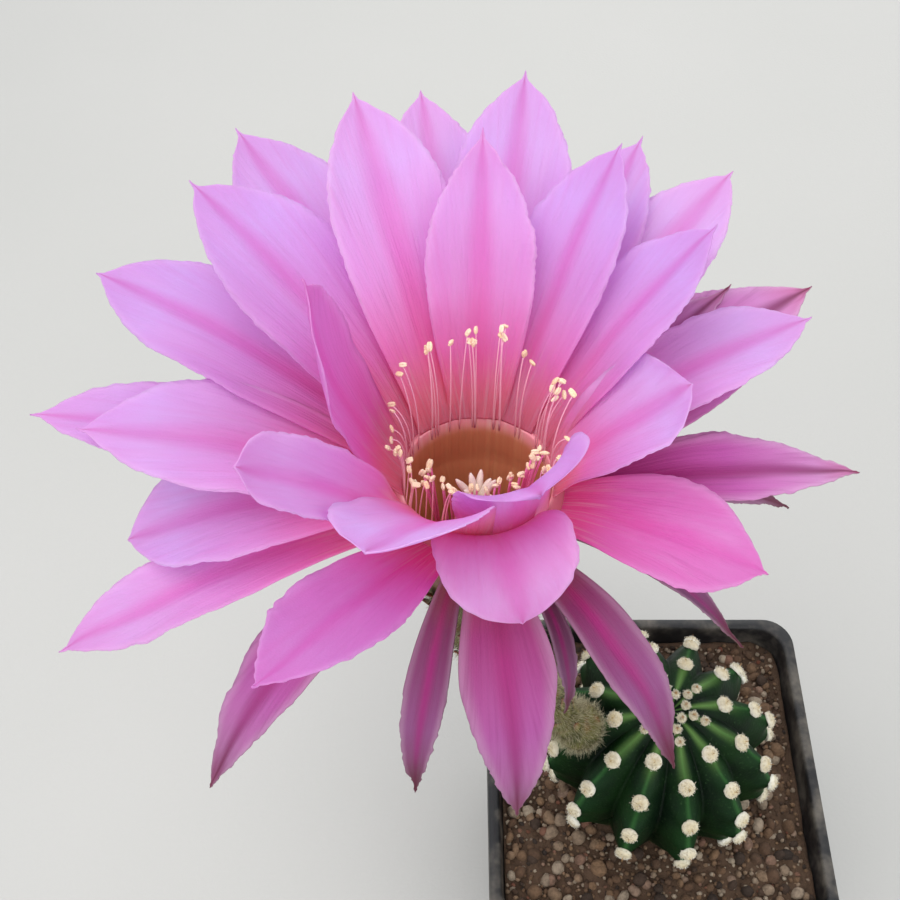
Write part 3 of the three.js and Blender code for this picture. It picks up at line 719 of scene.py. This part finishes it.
def build_pot():
    lip = POT_HEIGHT - LIP_HEIGHT
    top = POT_TOP_WIDTH / 2
    inner = pot_half(POT_HEIGHT) - POT_WALL
    foot = pot_half(0)
    profile = [
        (foot - 1.0, 0), (foot - 0.3, 0.25), (pot_half(1), 1), (pot_half(11.6), 11.6),
        (pot_half(12) - 0.35, 12.2), (pot_half(13.4) - 0.35, 13.2), (pot_half(13.8), 13.8),
    ]
    profile += [(pot_half(z), z) for z in np.linspace(20, lip - 4, 10)]
    profile += [
        (pot_half(lip) - 0.1, lip - 0.4), (pot_half(lip) + 0.2, lip + 0.1), (top - 0.4, lip + 0.6),
        (top - 0.05, lip + 1.1), (top, lip + 2), (top, POT_HEIGHT - 1.2),
        (top - 0.25, POT_HEIGHT - 0.4), (top - 0.9, POT_HEIGHT), (inner + 0.9, POT_HEIGHT),
        (inner + 0.25, POT_HEIGHT - 0.35), (inner, POT_HEIGHT - 1.2),
    ]
    profile += [(pot_half(z) - POT_WALL, z) for z in np.linspace(80, POT_FLOOR + 1.5, 8)]
    profile += [(pot_half(POT_FLOOR) - POT_WALL - 1.2, POT_FLOOR)]
    rings = np.stack([rounded_square(half, POT_CORNER, z) for half, z in profile])
    heights = rings[..., 2] / POT_HEIGHT
    rim = smoothstep(heights, 0.72, 1.0) * 0.5 + smoothstep(heights, 0.25, 0.0) * 0.35 + 0.1
    shape = loft(rings, dust=rim)
    pot = add_piece("pot_shell", "pot", pot_material(), shape)
    drains = joined([
        strands([[[x, y, -3], [x, y, 0], [x, y, 3], [x, y, 6]]], DRAIN_RADIUS, 24)
        for x in (-DRAIN_OFFSET, DRAIN_OFFSET) for y in (-DRAIN_OFFSET, DRAIN_OFFSET)
    ])
    cutter = bpy.data.objects.new("drains", new_mesh("drains", drains))
    scene.collection.objects.link(cutter)
    cut = pot.modifiers.new("drains", "BOOLEAN")
    cut.operation = "DIFFERENCE"
    cut.object = cutter
    whole = pot.evaluated_get(bpy.context.evaluated_depsgraph_get())
    pot.data = bpy.data.meshes.new_from_object(whole)
    pot.modifiers.clear()
    bpy.data.objects.remove(cutter)
    pot.data.polygons.foreach_set("use_smooth", [True] * len(pot.data.polygons))


def soil_half(z):
    return pot_half(z) - POT_WALL - GAP


def build_soil():
    edge = rounded_square(soil_half(SOIL_TOP), POT_CORNER, SOIL_TOP, 12, 28)
    count = len(edge)
    turns = np.degrees(np.arctan2(edge[:, 1], edge[:, 0]))
    hole = polar(ROOT_HOLE_RADIUS + GAP, turns, SOIL_TOP - 1)
    rings = [rounded_square(soil_half(z), POT_CORNER, z, 12, 28) for z in (2.7, 30, 60, 80)]
    for share in np.linspace(0, 1, 34):
        ring = edge + (hole - edge) * share
        ring[:, 2] = SOIL_TOP - 1.0 + 0.7 * waves(ring, 9, 3) + 0.35 * waves(ring, 3, 4)
        rings.append(ring)
    rings.append(polar(ROOT_HOLE_RADIUS + GAP, turns, np.full(count, ROOT_HOLE_FLOOR)))
    earth = [(0.0, (52, 38, 28)), (0.5, (92, 68, 48)), (1.0, (124, 98, 74))]
    shape = loft(np.stack(rings), tone=0.35)
    add_piece("soil_bed", "soil", grain_material("soil", earth, 420.0), shape)
    stones = [
        (0.0, (46, 36, 30)), (0.25, (96, 70, 50)), (0.5, (136, 106, 78)), (0.7, (150, 132, 112)),
        (0.85, (176, 160, 138)), (1.0, (112, 62, 42)),
    ]
    grit = grain_material("grit", stones, 700.0)
    for name, detail, step, low, high, seed in [
        ("soil_stones", 2, 4.0, 1.1, 2.3, 7),
        ("soil_crumbs", 1, 1.75, 0.45, 1.0, 8),
    ]:
        random = np.random.default_rng(seed)
        line = np.arange(-soil_half(SOIL_TOP) + high, soil_half(SOIL_TOP) - high, step)
        x, y = [side.ravel() for side in np.meshgrid(line, line)]
        x = x + random.uniform(-0.5, 0.5, len(x)) * step
        y = y + random.uniform(-0.5, 0.5, len(y)) * step
        limit = soil_half(SOIL_TOP) - 0.6 * high
        past = np.maximum(np.abs([x, y]) - limit + POT_CORNER, 0)
        keep = (np.hypot(*past) <= POT_CORNER) & (np.hypot(x, y) > ROOT_HOLE_RADIUS + 2.5)
        x, y = x[keep], y[keep]
        radius = random.uniform(low, high, len(x))
        lift = SOIL_TOP - 1.0 + random.uniform(-0.1, 0.55, len(x)) * radius
        centres = np.stack([x, y, lift], -1)
        sizes = radius[:, None] * random.uniform(0.65, 1.15, (len(x), 3))
        base = ball(detail)
        turns = random_turns(random, len(x))
        tone = random.uniform(0, 1, len(x))
        shape = copies(base, centres, turns, sizes, tone)
        shift = 0.16 * waves(shape.points, 1.6 * high, seed) * np.repeat(radius, len(base.points))
        outward = unit(shape.points - np.repeat(centres, len(base.points), axis=0))
        shape.points += outward * shift[:, None]
        add_piece(name, "soil", grit, shape)


# Cactus body

def body_curve(angle):
    """Radius and height of the body's outer curve, by degrees above its middle."""
    rise = np.where(angle > 0, BODY_CROWN_RISE, BODY_UNDER_RISE)
    swing = np.radians(angle)
    return BODY_RADIUS * np.cos(swing), BODY_MIDDLE_Z + rise * np.sin(swing)


def areole_angles(rib):
    steps = np.arange(AREOLES_PER_RIB)
    return AREOLE_LOWEST + (rib % 2) * AREOLE_STEP / 2 + AREOLE_STEP * steps


def areole_places():
    """Centre, outward direction and radius of each pad of wool."""
    places = []
    for rib in range(RIBS):
        turn = RIB_PHASE + 360 * rib / RIBS
        for angle in np.append(areole_angles(rib), CROWN_AREOLES[rib % 2]):
            radius, z = body_curve(angle)
            place = polar(radius, turn, z)
            rise = math.radians(angle)
            outward = unit(polar(math.cos(rise), turn, math.sin(rise)))
            size = AREOLE_RADIUS * (1 if angle < 70 else 0.55)
            if np.linalg.norm(place - OVARY_CENTRE) > OVARY_RADIUS + 1.5 * AREOLE_RADIUS:
                places.append((place, outward, size))
    return places


def build_body():
    columns = RIBS * RIB_COLUMNS
    turns = RIB_PHASE + 360 * np.arange(columns) / columns
    rib = np.arange(columns) / RIB_COLUMNS
    off = np.abs((rib + 0.5) % 1 - 0.5) * 2
    nearest = np.round(rib).astype(int) % RIBS
    valley = (np.sqrt(off**2 + 0.01) - 0.1) / (math.sqrt(1.01) - 0.1)
    angles = np.concatenate([np.linspace(BODY_FOOT_ANGLE, 70, 104), np.linspace(71, 89.5, 26)])
    rings = [polar(ROOT_HOLE_RADIUS, turns, z) for z in (70.3, 76.0, 82.5)]
    crest = [1 - off] * 3
    for angle in angles:
        radius, z = body_curve(angle)
        ribbed = np.clip((angle - BODY_FOOT_ANGLE + 4) / 36, 0, 1)
        reach = radius * (1 - RIB_DEPTH * ribbed * valley)
        swell = np.zeros(columns)
        for number in range(RIBS):
            near = np.exp(-((areole_angles(number) - angle) / 5.5) ** 2).max()
            swell[nearest == number] = 1.5 * near - 0.6
        fade = smoothstep(angle, 84, 66) * smoothstep(angle, BODY_FOOT_ANGLE, -35)
        swell = swell * np.exp(-((off / 0.4) ** 2)) * fade
        lean = math.radians(angle)
        dip = 2.4 * math.exp(-((radius / 5.5) ** 2))
        height = z + swell * math.sin(lean) - dip
        ring = polar(reach + swell * math.cos(lean), turns, height)
        ring[:, 2] += 0.12 * waves(ring, 6, 9)
        rings.append(ring)
        crest.append(1 - off)
    rings = np.stack(rings)
    height = (rings[..., 2] - 80) / 50
    skin = loft(rings, crest=np.stack(crest), height=height)
    add_piece("cactus_skin", "cactus_body", body_material(), skin)
    build_areoles()


def build_areoles():
    random = np.random.default_rng(31)
    pads = []
    wool = []
    spines = []
    tones = []
    for place, outward, size in areole_places():
        across = unit(np.cross([0, 0, 1], outward))
        frame_axes = np.stack([across, np.cross(outward, across), outward], axis=-1)
        swing = np.radians(np.linspace(0, 105, 10))[:, None]
        dome = polar(np.sin(swing), np.arange(0, 360, 15)[None], 0.72 * np.cos(swing))
        dome = place + outward * 0.35 + size * dome[::-1] @ frame_axes.T
        dome += outward * (0.22 * waves(dome, 1.1, 12))[..., None]
        pads.append(loft(dome, along=np.linspace(0.8, 0, 10)[:, None], tone=random.uniform()))
        count = WOOL_HAIRS
        reach = size * np.sqrt(random.uniform(0, 1, count))
        spin = random.uniform(0, 360, count)
        flat = polar(reach, spin, 0.68 * np.sqrt(size**2 - reach**2))
        root = place + outward * 0.3 + flat @ frame_axes.T
        out = unit(flat / size + random.normal(size=(count, 3)) * 0.4 + [0, 0, 0.35]) @ frame_axes.T
        curl = unit(random.normal(size=(count, 3)))
        long = random.uniform(0.3, 0.75, count)[:, None]
        middle = root + out * long * 0.55 + curl * long * 0.2
        end = root + out * long * 0.8 + curl * long * 0.45
        wool.append(np.stack([root - out * 0.2, middle, end], axis=1))
        tones.append(random.uniform(0, 1, count))
        for i in range(SPINES_PER_AREOLE):
            long = (1.9 if i == 0 else random.uniform(0.9, 1.4)) * size / AREOLE_RADIUS
            tilt = math.radians(12 if i == 0 else random.uniform(48, 66))
            spin = 60 * i + random.uniform(-14, 14)
            way = polar(math.sin(tilt), spin, math.cos(tilt)) @ frame_axes.T
            root = place + outward * 1.3
            spines.append(np.stack([root, root + way * 0.5 * long, root + way * long]))
    cream = strand_material("areole_wool", (196, 178, 134), (246, 246, 238), 0.9)
    add_piece("areole_pads", "cactus_body", cream, joined(pads))
    fluff = strands(np.concatenate(wool), [0.09, 0.07, 0.03], 3, np.concatenate(tones))
    add_piece("areole_wool", "cactus_body", cream, fluff)
    brown = strand_material("spine", (196, 158, 104), (122, 78, 44), 0.45)
    add_piece("areole_spines", "cactus_body", brown, strands(spines, [0.16, 0.12, 0.02], 5))


# Flower tube

def tube_path():
    """Centres, headings and a steady sideways direction at even steps along the tube."""
    start = OVARY_CENTRE - OVARY_AXIS * OVARY_RADIUS
    end = FLOWER_CENTRE - [0, 0, TUBE_RIM_DROP]
    lower = start + OVARY_AXIS * TUBE_LOWER_PULL
    upper = end - [0, 0, TUBE_UPPER_PULL]
    t = np.linspace(0, 1, 2001)[:, None]
    raw = (
        (1 - t) ** 3 * start + 3 * (1 - t) ** 2 * t * lower
        + 3 * (1 - t) * t**2 * upper + t**3 * end
    )
    steps = np.append(0, np.cumsum(np.linalg.norm(np.diff(raw, axis=0), axis=1)))
    shares = np.linspace(0, 1, TUBE_STEPS + 1) * steps[-1]
    centres = np.stack([np.interp(shares, steps, raw[:, i]) for i in range(3)], -1)
    ahead = unit(np.gradient(centres, axis=0))
    across = [unit(np.cross(ahead[0], [0, 1, 0]))]
    for way in ahead[1:]:
        across.append(unit(across[-1] - way * np.dot(way, across[-1])))
    return centres, ahead, np.array(across), steps[-1]


TUBE_CENTRES, TUBE_AHEAD, TUBE_ACROSS, TUBE_LENGTH = tube_path()


def tube_frame(share):
    """Centre, heading and two sideways directions at shares of the tube's length."""
    index = np.round(np.asarray(share) * TUBE_STEPS).astype(int)
    ahead = TUBE_AHEAD[index]
    across = TUBE_ACROSS[index]
    return TUBE_CENTRES[index], ahead, across, np.cross(ahead, across)


def tube_radius(share):
    along = share * TUBE_LENGTH
    ovary = np.sqrt(np.maximum(OVARY_RADIUS**2 - (along - OVARY_RADIUS) ** 2, 1))
    above = np.interp(share, [0, 0.14, 0.45, 0.8, 0.93, 1], [5.2, 5.2, 8.6, 11.6, 15, 17.8])
    return np.where(along < 1.6 * OVARY_RADIUS, ovary, above)


def throat_radius(share):
    return np.interp(share, [0, 0.38, 0.6, 0.8, 0.93, 1], [2.5, 2.5, 6.4, 9.2, 12.6, 15])


def tube_around(share, turn):
    """Centre, outward direction and heading at shares and turns, which are in degrees."""
    centre, ahead, across, other = tube_frame(share)
    swing = np.radians(turn)[..., None]
    return centre, across * np.cos(swing) + other * np.sin(swing), ahead


def tube_point(share, turn, lift):
    """A point over the tube's skin, its outward direction and its heading."""
    centre, outward, ahead = tube_around(share, turn)
    return centre + outward * (tube_radius(share) + lift)[..., None], outward, ahead


def build_tube():
    columns = 96
    turn = 360 * np.arange(columns) / columns
    rings = []
    marks = {"inside": [], "blush": [], "along": []}
    compass = {"east": np.cos(np.radians(turn)), "north": np.sin(np.radians(turn))}

    def add_rings(points, inside, blush, along):
        rings.append(points)
        for key, value in (("inside", inside), ("blush", blush), ("along", along)):
            marks[key].append(np.broadcast_to(np.reshape(value, (-1, 1)), points.shape[:2]))

    def round_tube(share, radius):
        centre, outward, _ = tube_around(share[:, None], turn[None])
        return centre + outward * radius[:, None, None]

    share = np.linspace(0.0025, 1, 150)
    skin = round_tube(share, tube_radius(share))
    centre = tube_frame(share)[0][:, None]
    bulge = 0.35 * waves(skin, 5.5, 21) * smoothstep(share, 1, 0.9)[:, None]
    skin += unit(skin - centre) * bulge[..., None]
    add_rings(skin, 0, 0.35 * smoothstep(share, 0.9, 1), share)
    rim = np.radians(np.linspace(45, 180, 6))[:, None]
    rim = RIM_CENTRE + RIM_RADIUS * np.concatenate([np.cos(rim), np.sin(rim)], axis=1)
    outer = np.concatenate([
        np.linspace(RIM_FOOT, RIM_SHOULDER, 5)[:-1], np.linspace(RIM_SHOULDER, rim[0], 4)[:-1]
    ])
    down = np.linspace(rim[-1, 1] - 0.5, -19, 12)
    narrow = THROAT_MOUTH + 0.3 * smoothstep(down, -13, -9)
    cup = np.concatenate([outer, rim, np.stack([narrow, down], axis=-1)])
    inside = smoothstep(np.arange(len(cup)), len(outer) + 1, len(outer) + 4)
    turns = np.degrees(np.arctan2(*(skin[-1] - FLOWER_CENTRE)[:, 1::-1].T))
    collar = FLOWER_CENTRE + polar(cup[:, :1], turns[None], cup[:, 1:])
    outside = smoothstep(cup[:, 1], -21, -12) * 0.65 + 0.35
    blush = np.where(inside < 1, outside, smoothstep(cup[:, 1], -13.5, -8.8))
    add_rings(collar, inside, blush, 1)
    share = np.linspace(1, THROAT_FLOOR, 70)
    add_rings(round_tube(share, throat_radius(share)), 1, 0, share)
    rings = np.concatenate(rings)
    marks = {key: np.concatenate(value) for key, value in marks.items()}
    shape = loft(rings, **compass, **marks)
    add_piece("tube_skin", "flower_tube", tube_material(), shape)


def build_scales():
    random = np.random.default_rng(41)
    scales = []
    for i in range(SCALES):
        share = 0.07 + 0.85 * i / SCALES
        long = 8 + 7 * share + random.uniform(-1, 1)
        step = np.linspace(0, 1, 9)
        half = (1.3 + 1.2 * share) * np.sin(math.pi * (0.22 + 0.78 * step)) ** 0.8 + 0.05
        side = np.linspace(-1, 1, 7)
        reach = np.clip(share + step * long / TUBE_LENGTH, 0, 1)
        lift = -0.5 + (1.5 + 1.6 * share) * step**1.4
        base = np.full(9, GOLDEN_ANGLE * i)
        middle, outward, ahead = tube_point(reach, base, lift)
        across = np.cross(ahead, outward)
        wide = half[:, None] * side[None]
        points = middle[:, None] + across[:, None] * wide[..., None]
        points -= outward[:, None] * (wide**2 / (2 * tube_radius(reach)[:, None]))[..., None]
        normals = np.broadcast_to(outward[:, None], points.shape)
        thick = np.full(points.shape[:2], 0.35)
        scales.append(blade(
            points, normals, thick,
            along=step[:, None], lane=wide, tone=random.uniform(),
        ))
    add_piece("tube_scales", "flower_tube", scale_material(), joined(scales))


def build_hair():
    random = np.random.default_rng(43)
    count = TUBE_HAIRS
    share = random.uniform(0.003, 0.93, count) ** 1.2
    turn = random.uniform(0, 360, count)
    root, outward, ahead = tube_point(share, turn, np.full(count, -0.3))
    long = random.uniform(1.2, 3.0, count)[:, None]
    drift = unit(random.normal(size=(count, 3)))
    way = unit(outward + ahead * random.uniform(-0.1, 0.7, count)[:, None] + drift * 0.45)
    curl = unit(random.normal(size=(count, 3)))
    lines = np.stack([
        root,
        root + way * long * 0.5 + curl * long * 0.05,
        root + way * long + curl * long * 0.3,
    ], axis=1)
    shape = strands(lines, [0.05, 0.042, 0.012], 3, random.uniform(0, 1, count))
    hair = strand_material("tube_hair", (104, 90, 44), (212, 204, 172), 0.75)
    add_piece("tube_hair", "flower_tube", hair, shape)


# Tepals

def tepal_line(own, share, hook, curl):
    """A tepal's root, the way from it along the middle line, and its own three directions."""
    fine = np.linspace(0, share[-1], 1201)
    first, last = own["slope"]
    hooked = curl * np.clip((fine - 1) * own["long"] / hook, 0, 1)
    slope = np.radians(first + (last - first) * np.minimum(fine, 1) ** own["quick"] + hooked)
    heading = own["toward"] + own.get("swerve", 0) * fine**1.5
    ways = polar(np.cos(slope), heading, np.sin(slope))
    root = polar(own["radius"], own["toward"], own["height"])
    travel = np.cumsum(ways, axis=0) * own["long"] * (fine[1] - fine[0])
    travel = np.stack([np.interp(share, fine, travel[:, i]) for i in range(3)], -1)
    ahead = unit(np.stack([np.interp(share, fine, ways[:, i]) for i in range(3)], -1))
    level = polar(1, np.interp(share, fine, heading) + 90, 0)
    tilt = math.radians(own.get("lean", 0)) * smoothstep(share, 0, 0.35)[:, None]
    across = level * np.cos(tilt) + np.cross(ahead, level) * np.sin(tilt)
    return root, travel, across, np.cross(ahead, across)


def tepal_half_width(own, share, hook):
    widest = own["widest"]
    rise = np.sin(np.clip(share / widest, 0, 1) * math.pi / 2) ** 1.3
    fall = np.clip((share - widest) / (1 - widest), 0, 1) ** own["blunt"]
    half = own["wide"] / 2 * (own["root"] + (1 - own["root"]) * rise) * (1 - fall)
    point = 0.42 * np.clip(1 - (share - 1) * own["long"] / hook, 0.12, 1)
    return np.maximum(half, point)


def tepal_section(own, share, half, v):
    """How far each point lies across and above the middle line, and how the sheet bends."""
    root_cup = half / own["radius"]
    full_cup = math.radians(own["cup"]) * (1 - 0.35 * share)
    cup = root_cup + (full_cup - root_cup) * smoothstep(share, 0, 0.3)
    bend = cup[:, None] * v[None]
    for side, begin, end, degrees in own.get("roll", ()):
        outer = np.clip((side * v - 0.45) / 0.55, 0, 1) ** 1.5
        where = smoothstep(share, begin, begin + 0.2) * smoothstep(share, end + 0.1, end - 0.1)
        bend = bend + side * math.radians(degrees) * where[:, None] * outer[None]
    between = (bend[:, 1:] + bend[:, :-1]) / 2
    step = half[:, None] * 2 / (len(v) - 1)
    centre = len(v) // 2
    sums = []
    for part in (np.cos(between), np.sin(between)):
        total = np.concatenate([np.zeros((len(share), 1)), np.cumsum(part, axis=1)], axis=1)
        sums.append((total - total[:, centre:centre + 1]) * step)
    return *sums, bend


def tepal_blade(own, rows, columns, seed):
    random = np.random.default_rng(seed)
    long = own["long"]
    hook = random.uniform(0.8, 1.6) if own["blunt"] < 3 else 0.3
    share = np.append(np.linspace(0, 1, rows + 1), 1 + hook / long * np.array([0.3, 0.6, 1.0]))
    root, travel, across, up = tepal_line(own, share, hook, random.uniform(-25, 60))
    half = tepal_half_width(own, share, hook)
    v = np.linspace(-1, 1, columns + 1)
    run, climb, bend = tepal_section(own, share, half, v)

    lane = run / (0.35 + share[:, None])
    body = smoothstep(share, 0.2, 0.5) * smoothstep(share, 1.0, 0.93)
    margin = np.broadcast_arrays((share * long)[:, None], 9.0 * np.sign(v)[None], seed)
    margin = np.stack(margin, -1)
    climb += 0.55 * waves(margin, 13, seed + 7) * np.abs(v)[None] ** 3 * body[:, None]
    groove = smoothstep(share, 0.1, 0.4) * smoothstep(share, 1.0, 0.85)
    climb -= 0.4 * np.exp(-((run / 1.3) ** 2)) * groove[:, None]
    ragged = smoothstep(share, 0.3, 0.65) * smoothstep(share, 1.0, 0.97)
    teeth = 0.22 * waves(margin, 1.7, seed) + 0.2 * waves(margin, 5, seed + 3)
    run += teeth * np.sign(v) * np.abs(v)[None] ** 6 * ragged[:, None]

    middle = (root + travel)[:, None]
    points = middle + across[:, None] * run[..., None] + up[:, None] * climb[..., None]
    points += travel[:, None] * (own.get("slant", 0) * v[None, :, None])
    points += up[:, None] * (0.5 * waves(points, 26, seed) * body[:, None])[..., None]
    normals = up[:, None] * np.cos(bend)[..., None] - across[:, None] * np.sin(bend)[..., None]
    thick = (0.75 - 0.45 * np.abs(v)[None] ** 1.5) * (1.1 - 0.45 * np.minimum(share, 1))[:, None]
    return blade(
        points + FLOWER_CENTRE, normals, thick,
        along=np.minimum(share, 1)[:, None], across=v[None], lane=lane, tone=random.uniform(),
        dusk=own.get("dusk", 0), flush=own.get("flush", 0.08), warm=own.get("warm", 0),
    )


def build_tepals(name, node, whorl, tepals, rows, columns, material, seed):
    blades = [
        tepal_blade({**whorl, **own}, rows, columns, seed + i) for i, own in enumerate(tepals)
    ]
    add_piece(name, node, material, joined(blades))


# Stamens and pistil

def arc_line(root, bend, tip, steps):
    t = np.linspace(0, 1, steps)[:, None]
    return (1 - t) ** 2 * root + 2 * (1 - t) * t * bend + t**2 * tip


def anther_shape():
    """Two lobes side by side, with a groove between them and a notch at each end."""
    base = ball(3)
    x, y, z = base.points.T
    groove = 1 - 0.45 * np.exp(-((x / 0.3) ** 2))
    notch = 1 - 0.22 * np.exp(-((x / 0.25) ** 2))
    base.points = np.stack([x * (1 + 0.12 * y**2), y * notch, z * groove + 0.12 * y**2], -1)
    return base


def add_stamens(name, node, lines, tips, filament, radii, seed):
    random = np.random.default_rng(seed)
    count = len(lines)
    tones = random.uniform(0, 1, count)
    shape = strands(lines, np.linspace(*radii, len(lines[0])), 6, tones)
    shape.points += FLOWER_CENTRE
    add_piece(name + "_filaments", node, filament, shape)
    sizes = np.array([0.56, 1.0, 0.44]) * random.uniform(0.85, 1.15, (count, 1))
    places = np.array(tips) + FLOWER_CENTRE + random.normal(size=(count, 3)) * 0.12
    shape = copies(anther_shape(), places, random_turns(random, count), sizes, tones)
    add_piece(name + "_anthers", node, anther_material(), shape)


def frontness(degrees):
    """How far a direction faces the viewer's side of the flower, from 0 to 1."""
    return max(0.0, -math.sin(math.radians(degrees)))


def clump_tips(random, turn, reach, height, most):
    """Places of the anthers in a clump, from one to most of them."""
    count = random.integers(1, most + 1)
    return polar(reach, turn, height) + random.normal(size=(count, 3)) * [0.6, 0.6, 0.8]


def build_ring_stamens():
    random = np.random.default_rng(51)
    lines = []
    tips = []
    for i in range(RING_CLUMPS):
        turn = 360 * i / RING_CLUMPS + random.uniform(-5, 5)
        front = frontness(turn)
        reach = 17.2 - 4.4 * front**0.6 + random.uniform(-0.4, 0.8)
        height = 5.5 + 8 * frontness(-turn) ** 0.7 - 3.5 * front
        height += random.uniform(-1, 1) * (0.8 + 5 * abs(math.cos(math.radians(turn))))
        for tip in clump_tips(random, turn, reach, height, 3):
            spread = turn + random.uniform(-7, 7)
            root = polar(RING_ROOT_RADIUS, spread, RING_ROOT_HEIGHT)
            lines.append(arc_line(root, polar(RING_BEND_RADIUS, spread, 0.3 * height), tip, 12))
            tips.append(tip)
    pink = strand_material("ring_filament", (248, 186, 192), (248, 188, 212), 0.5)
    add_stamens("ring", "ring_stamens", lines, tips, pink, (0.16, 0.11), 52)


def build_low_stamens():
    random = np.random.default_rng(53)
    centre = tube_frame(LOW_STAMEN_SHARE)[0] - FLOWER_CENTRE
    outer = float(throat_radius(LOW_STAMEN_SHARE)) - 0.6
    lines = []
    tips = []
    for turn in np.linspace(LOW_FIRST_TURN, LOW_LAST_TURN, LOW_CLUMPS):
        reach = 12.8 - 4.2 * frontness(turn) ** 1.5 + random.uniform(-1, 1)
        height = 1.5 + 2.4 * math.cos(math.radians(turn)) - 2.6 * frontness(turn) ** 4
        height += random.uniform(-1.2, 1.2)
        for tip in clump_tips(random, turn, reach, height, 3 - round(frontness(turn))):
            spread = turn + random.uniform(-6, 6)
            root = polar(outer, spread, 0) + centre
            bend = polar(LOW_BEND_RADIUS, spread, LOW_BEND_HEIGHT)
            lines.append(arc_line(root, bend, tip, 14))
            tips.append(tip)
    pink = strand_material("low_filament", (242, 108, 152), (248, 146, 200), 0.45)
    add_stamens("low", "low_stamens", lines, tips, pink, (0.27, 0.22), 54)


def build_pistil():
    random = np.random.default_rng(57)
    top = STIGMA_MIDDLE
    floor, ahead, _, _ = tube_frame(THROAT_FLOOR)
    middle = tube_frame([0.55, 0.75, 0.95])[0] - FLOWER_CENTRE
    knots = np.array([floor + GAP * ahead - FLOWER_CENTRE, *middle, top])
    at = np.append(0, np.cumsum(np.linalg.norm(np.diff(knots, axis=0), axis=1)))
    shares = np.linspace(0, at[-1], 40)
    line = np.stack([np.interp(shares, at, knots[:, i]) for i in range(3)], -1)
    for _ in range(30):
        line[1:-1] = (line[:-2] + 2 * line[1:-1] + line[2:]) / 4
    style = strands(line[None], np.linspace(0.9, 1.4, 40), 14, 0.5)
    lobes = []
    for i in range(STIGMA_LOBES):
        turn = 360 * i / STIGMA_LOBES + random.uniform(-8, 8)
        reach = random.uniform(2.6, 4.4)
        height = random.uniform(4, 7)
        bend = top + polar(0.55 * reach, turn, 0.55 * height)
        foot = top + polar(0.6, turn, -0.8)
        lobes.append(arc_line(foot, bend, top + polar(reach, turn, height), 12))
    taper = [0.55, 0.6, 0.65, 0.7, 0.74, 0.76, 0.76, 0.74, 0.68, 0.58, 0.42, 0.16]
    stigma = strands(lobes, taper, 10, random.uniform(0, 1, len(lobes)))
    stigma.points += unit(random.normal(size=stigma.points.shape)) * 0.05
    whole = joined([style, stigma])
    whole.points += FLOWER_CENTRE
    cream = strand_material("stigma", (226, 206, 190), (246, 234, 222), 0.6)
    add_piece("style_and_stigma", "pistil", cream, whole)


set_stage()
build_pot()
build_soil()
build_body()
build_tube()
build_scales()
build_hair()
petals = petal_material()
build_tepals("inner_petals", "petals", INNER_WHORL, INNER_TEPALS, 120, 20, petals, 101)
build_tepals("middle_petals", "petals", MIDDLE_WHORL, MIDDLE_TEPALS, 120, 20, petals, 131)
build_tepals(
    "outer_tepal_blades", "outer_tepals", OUTER_WHORL, OUTER_TEPALS, 80, 14,
    outer_material(), 161,
)
build_ring_stamens()
build_low_stamens()
build_pistil()
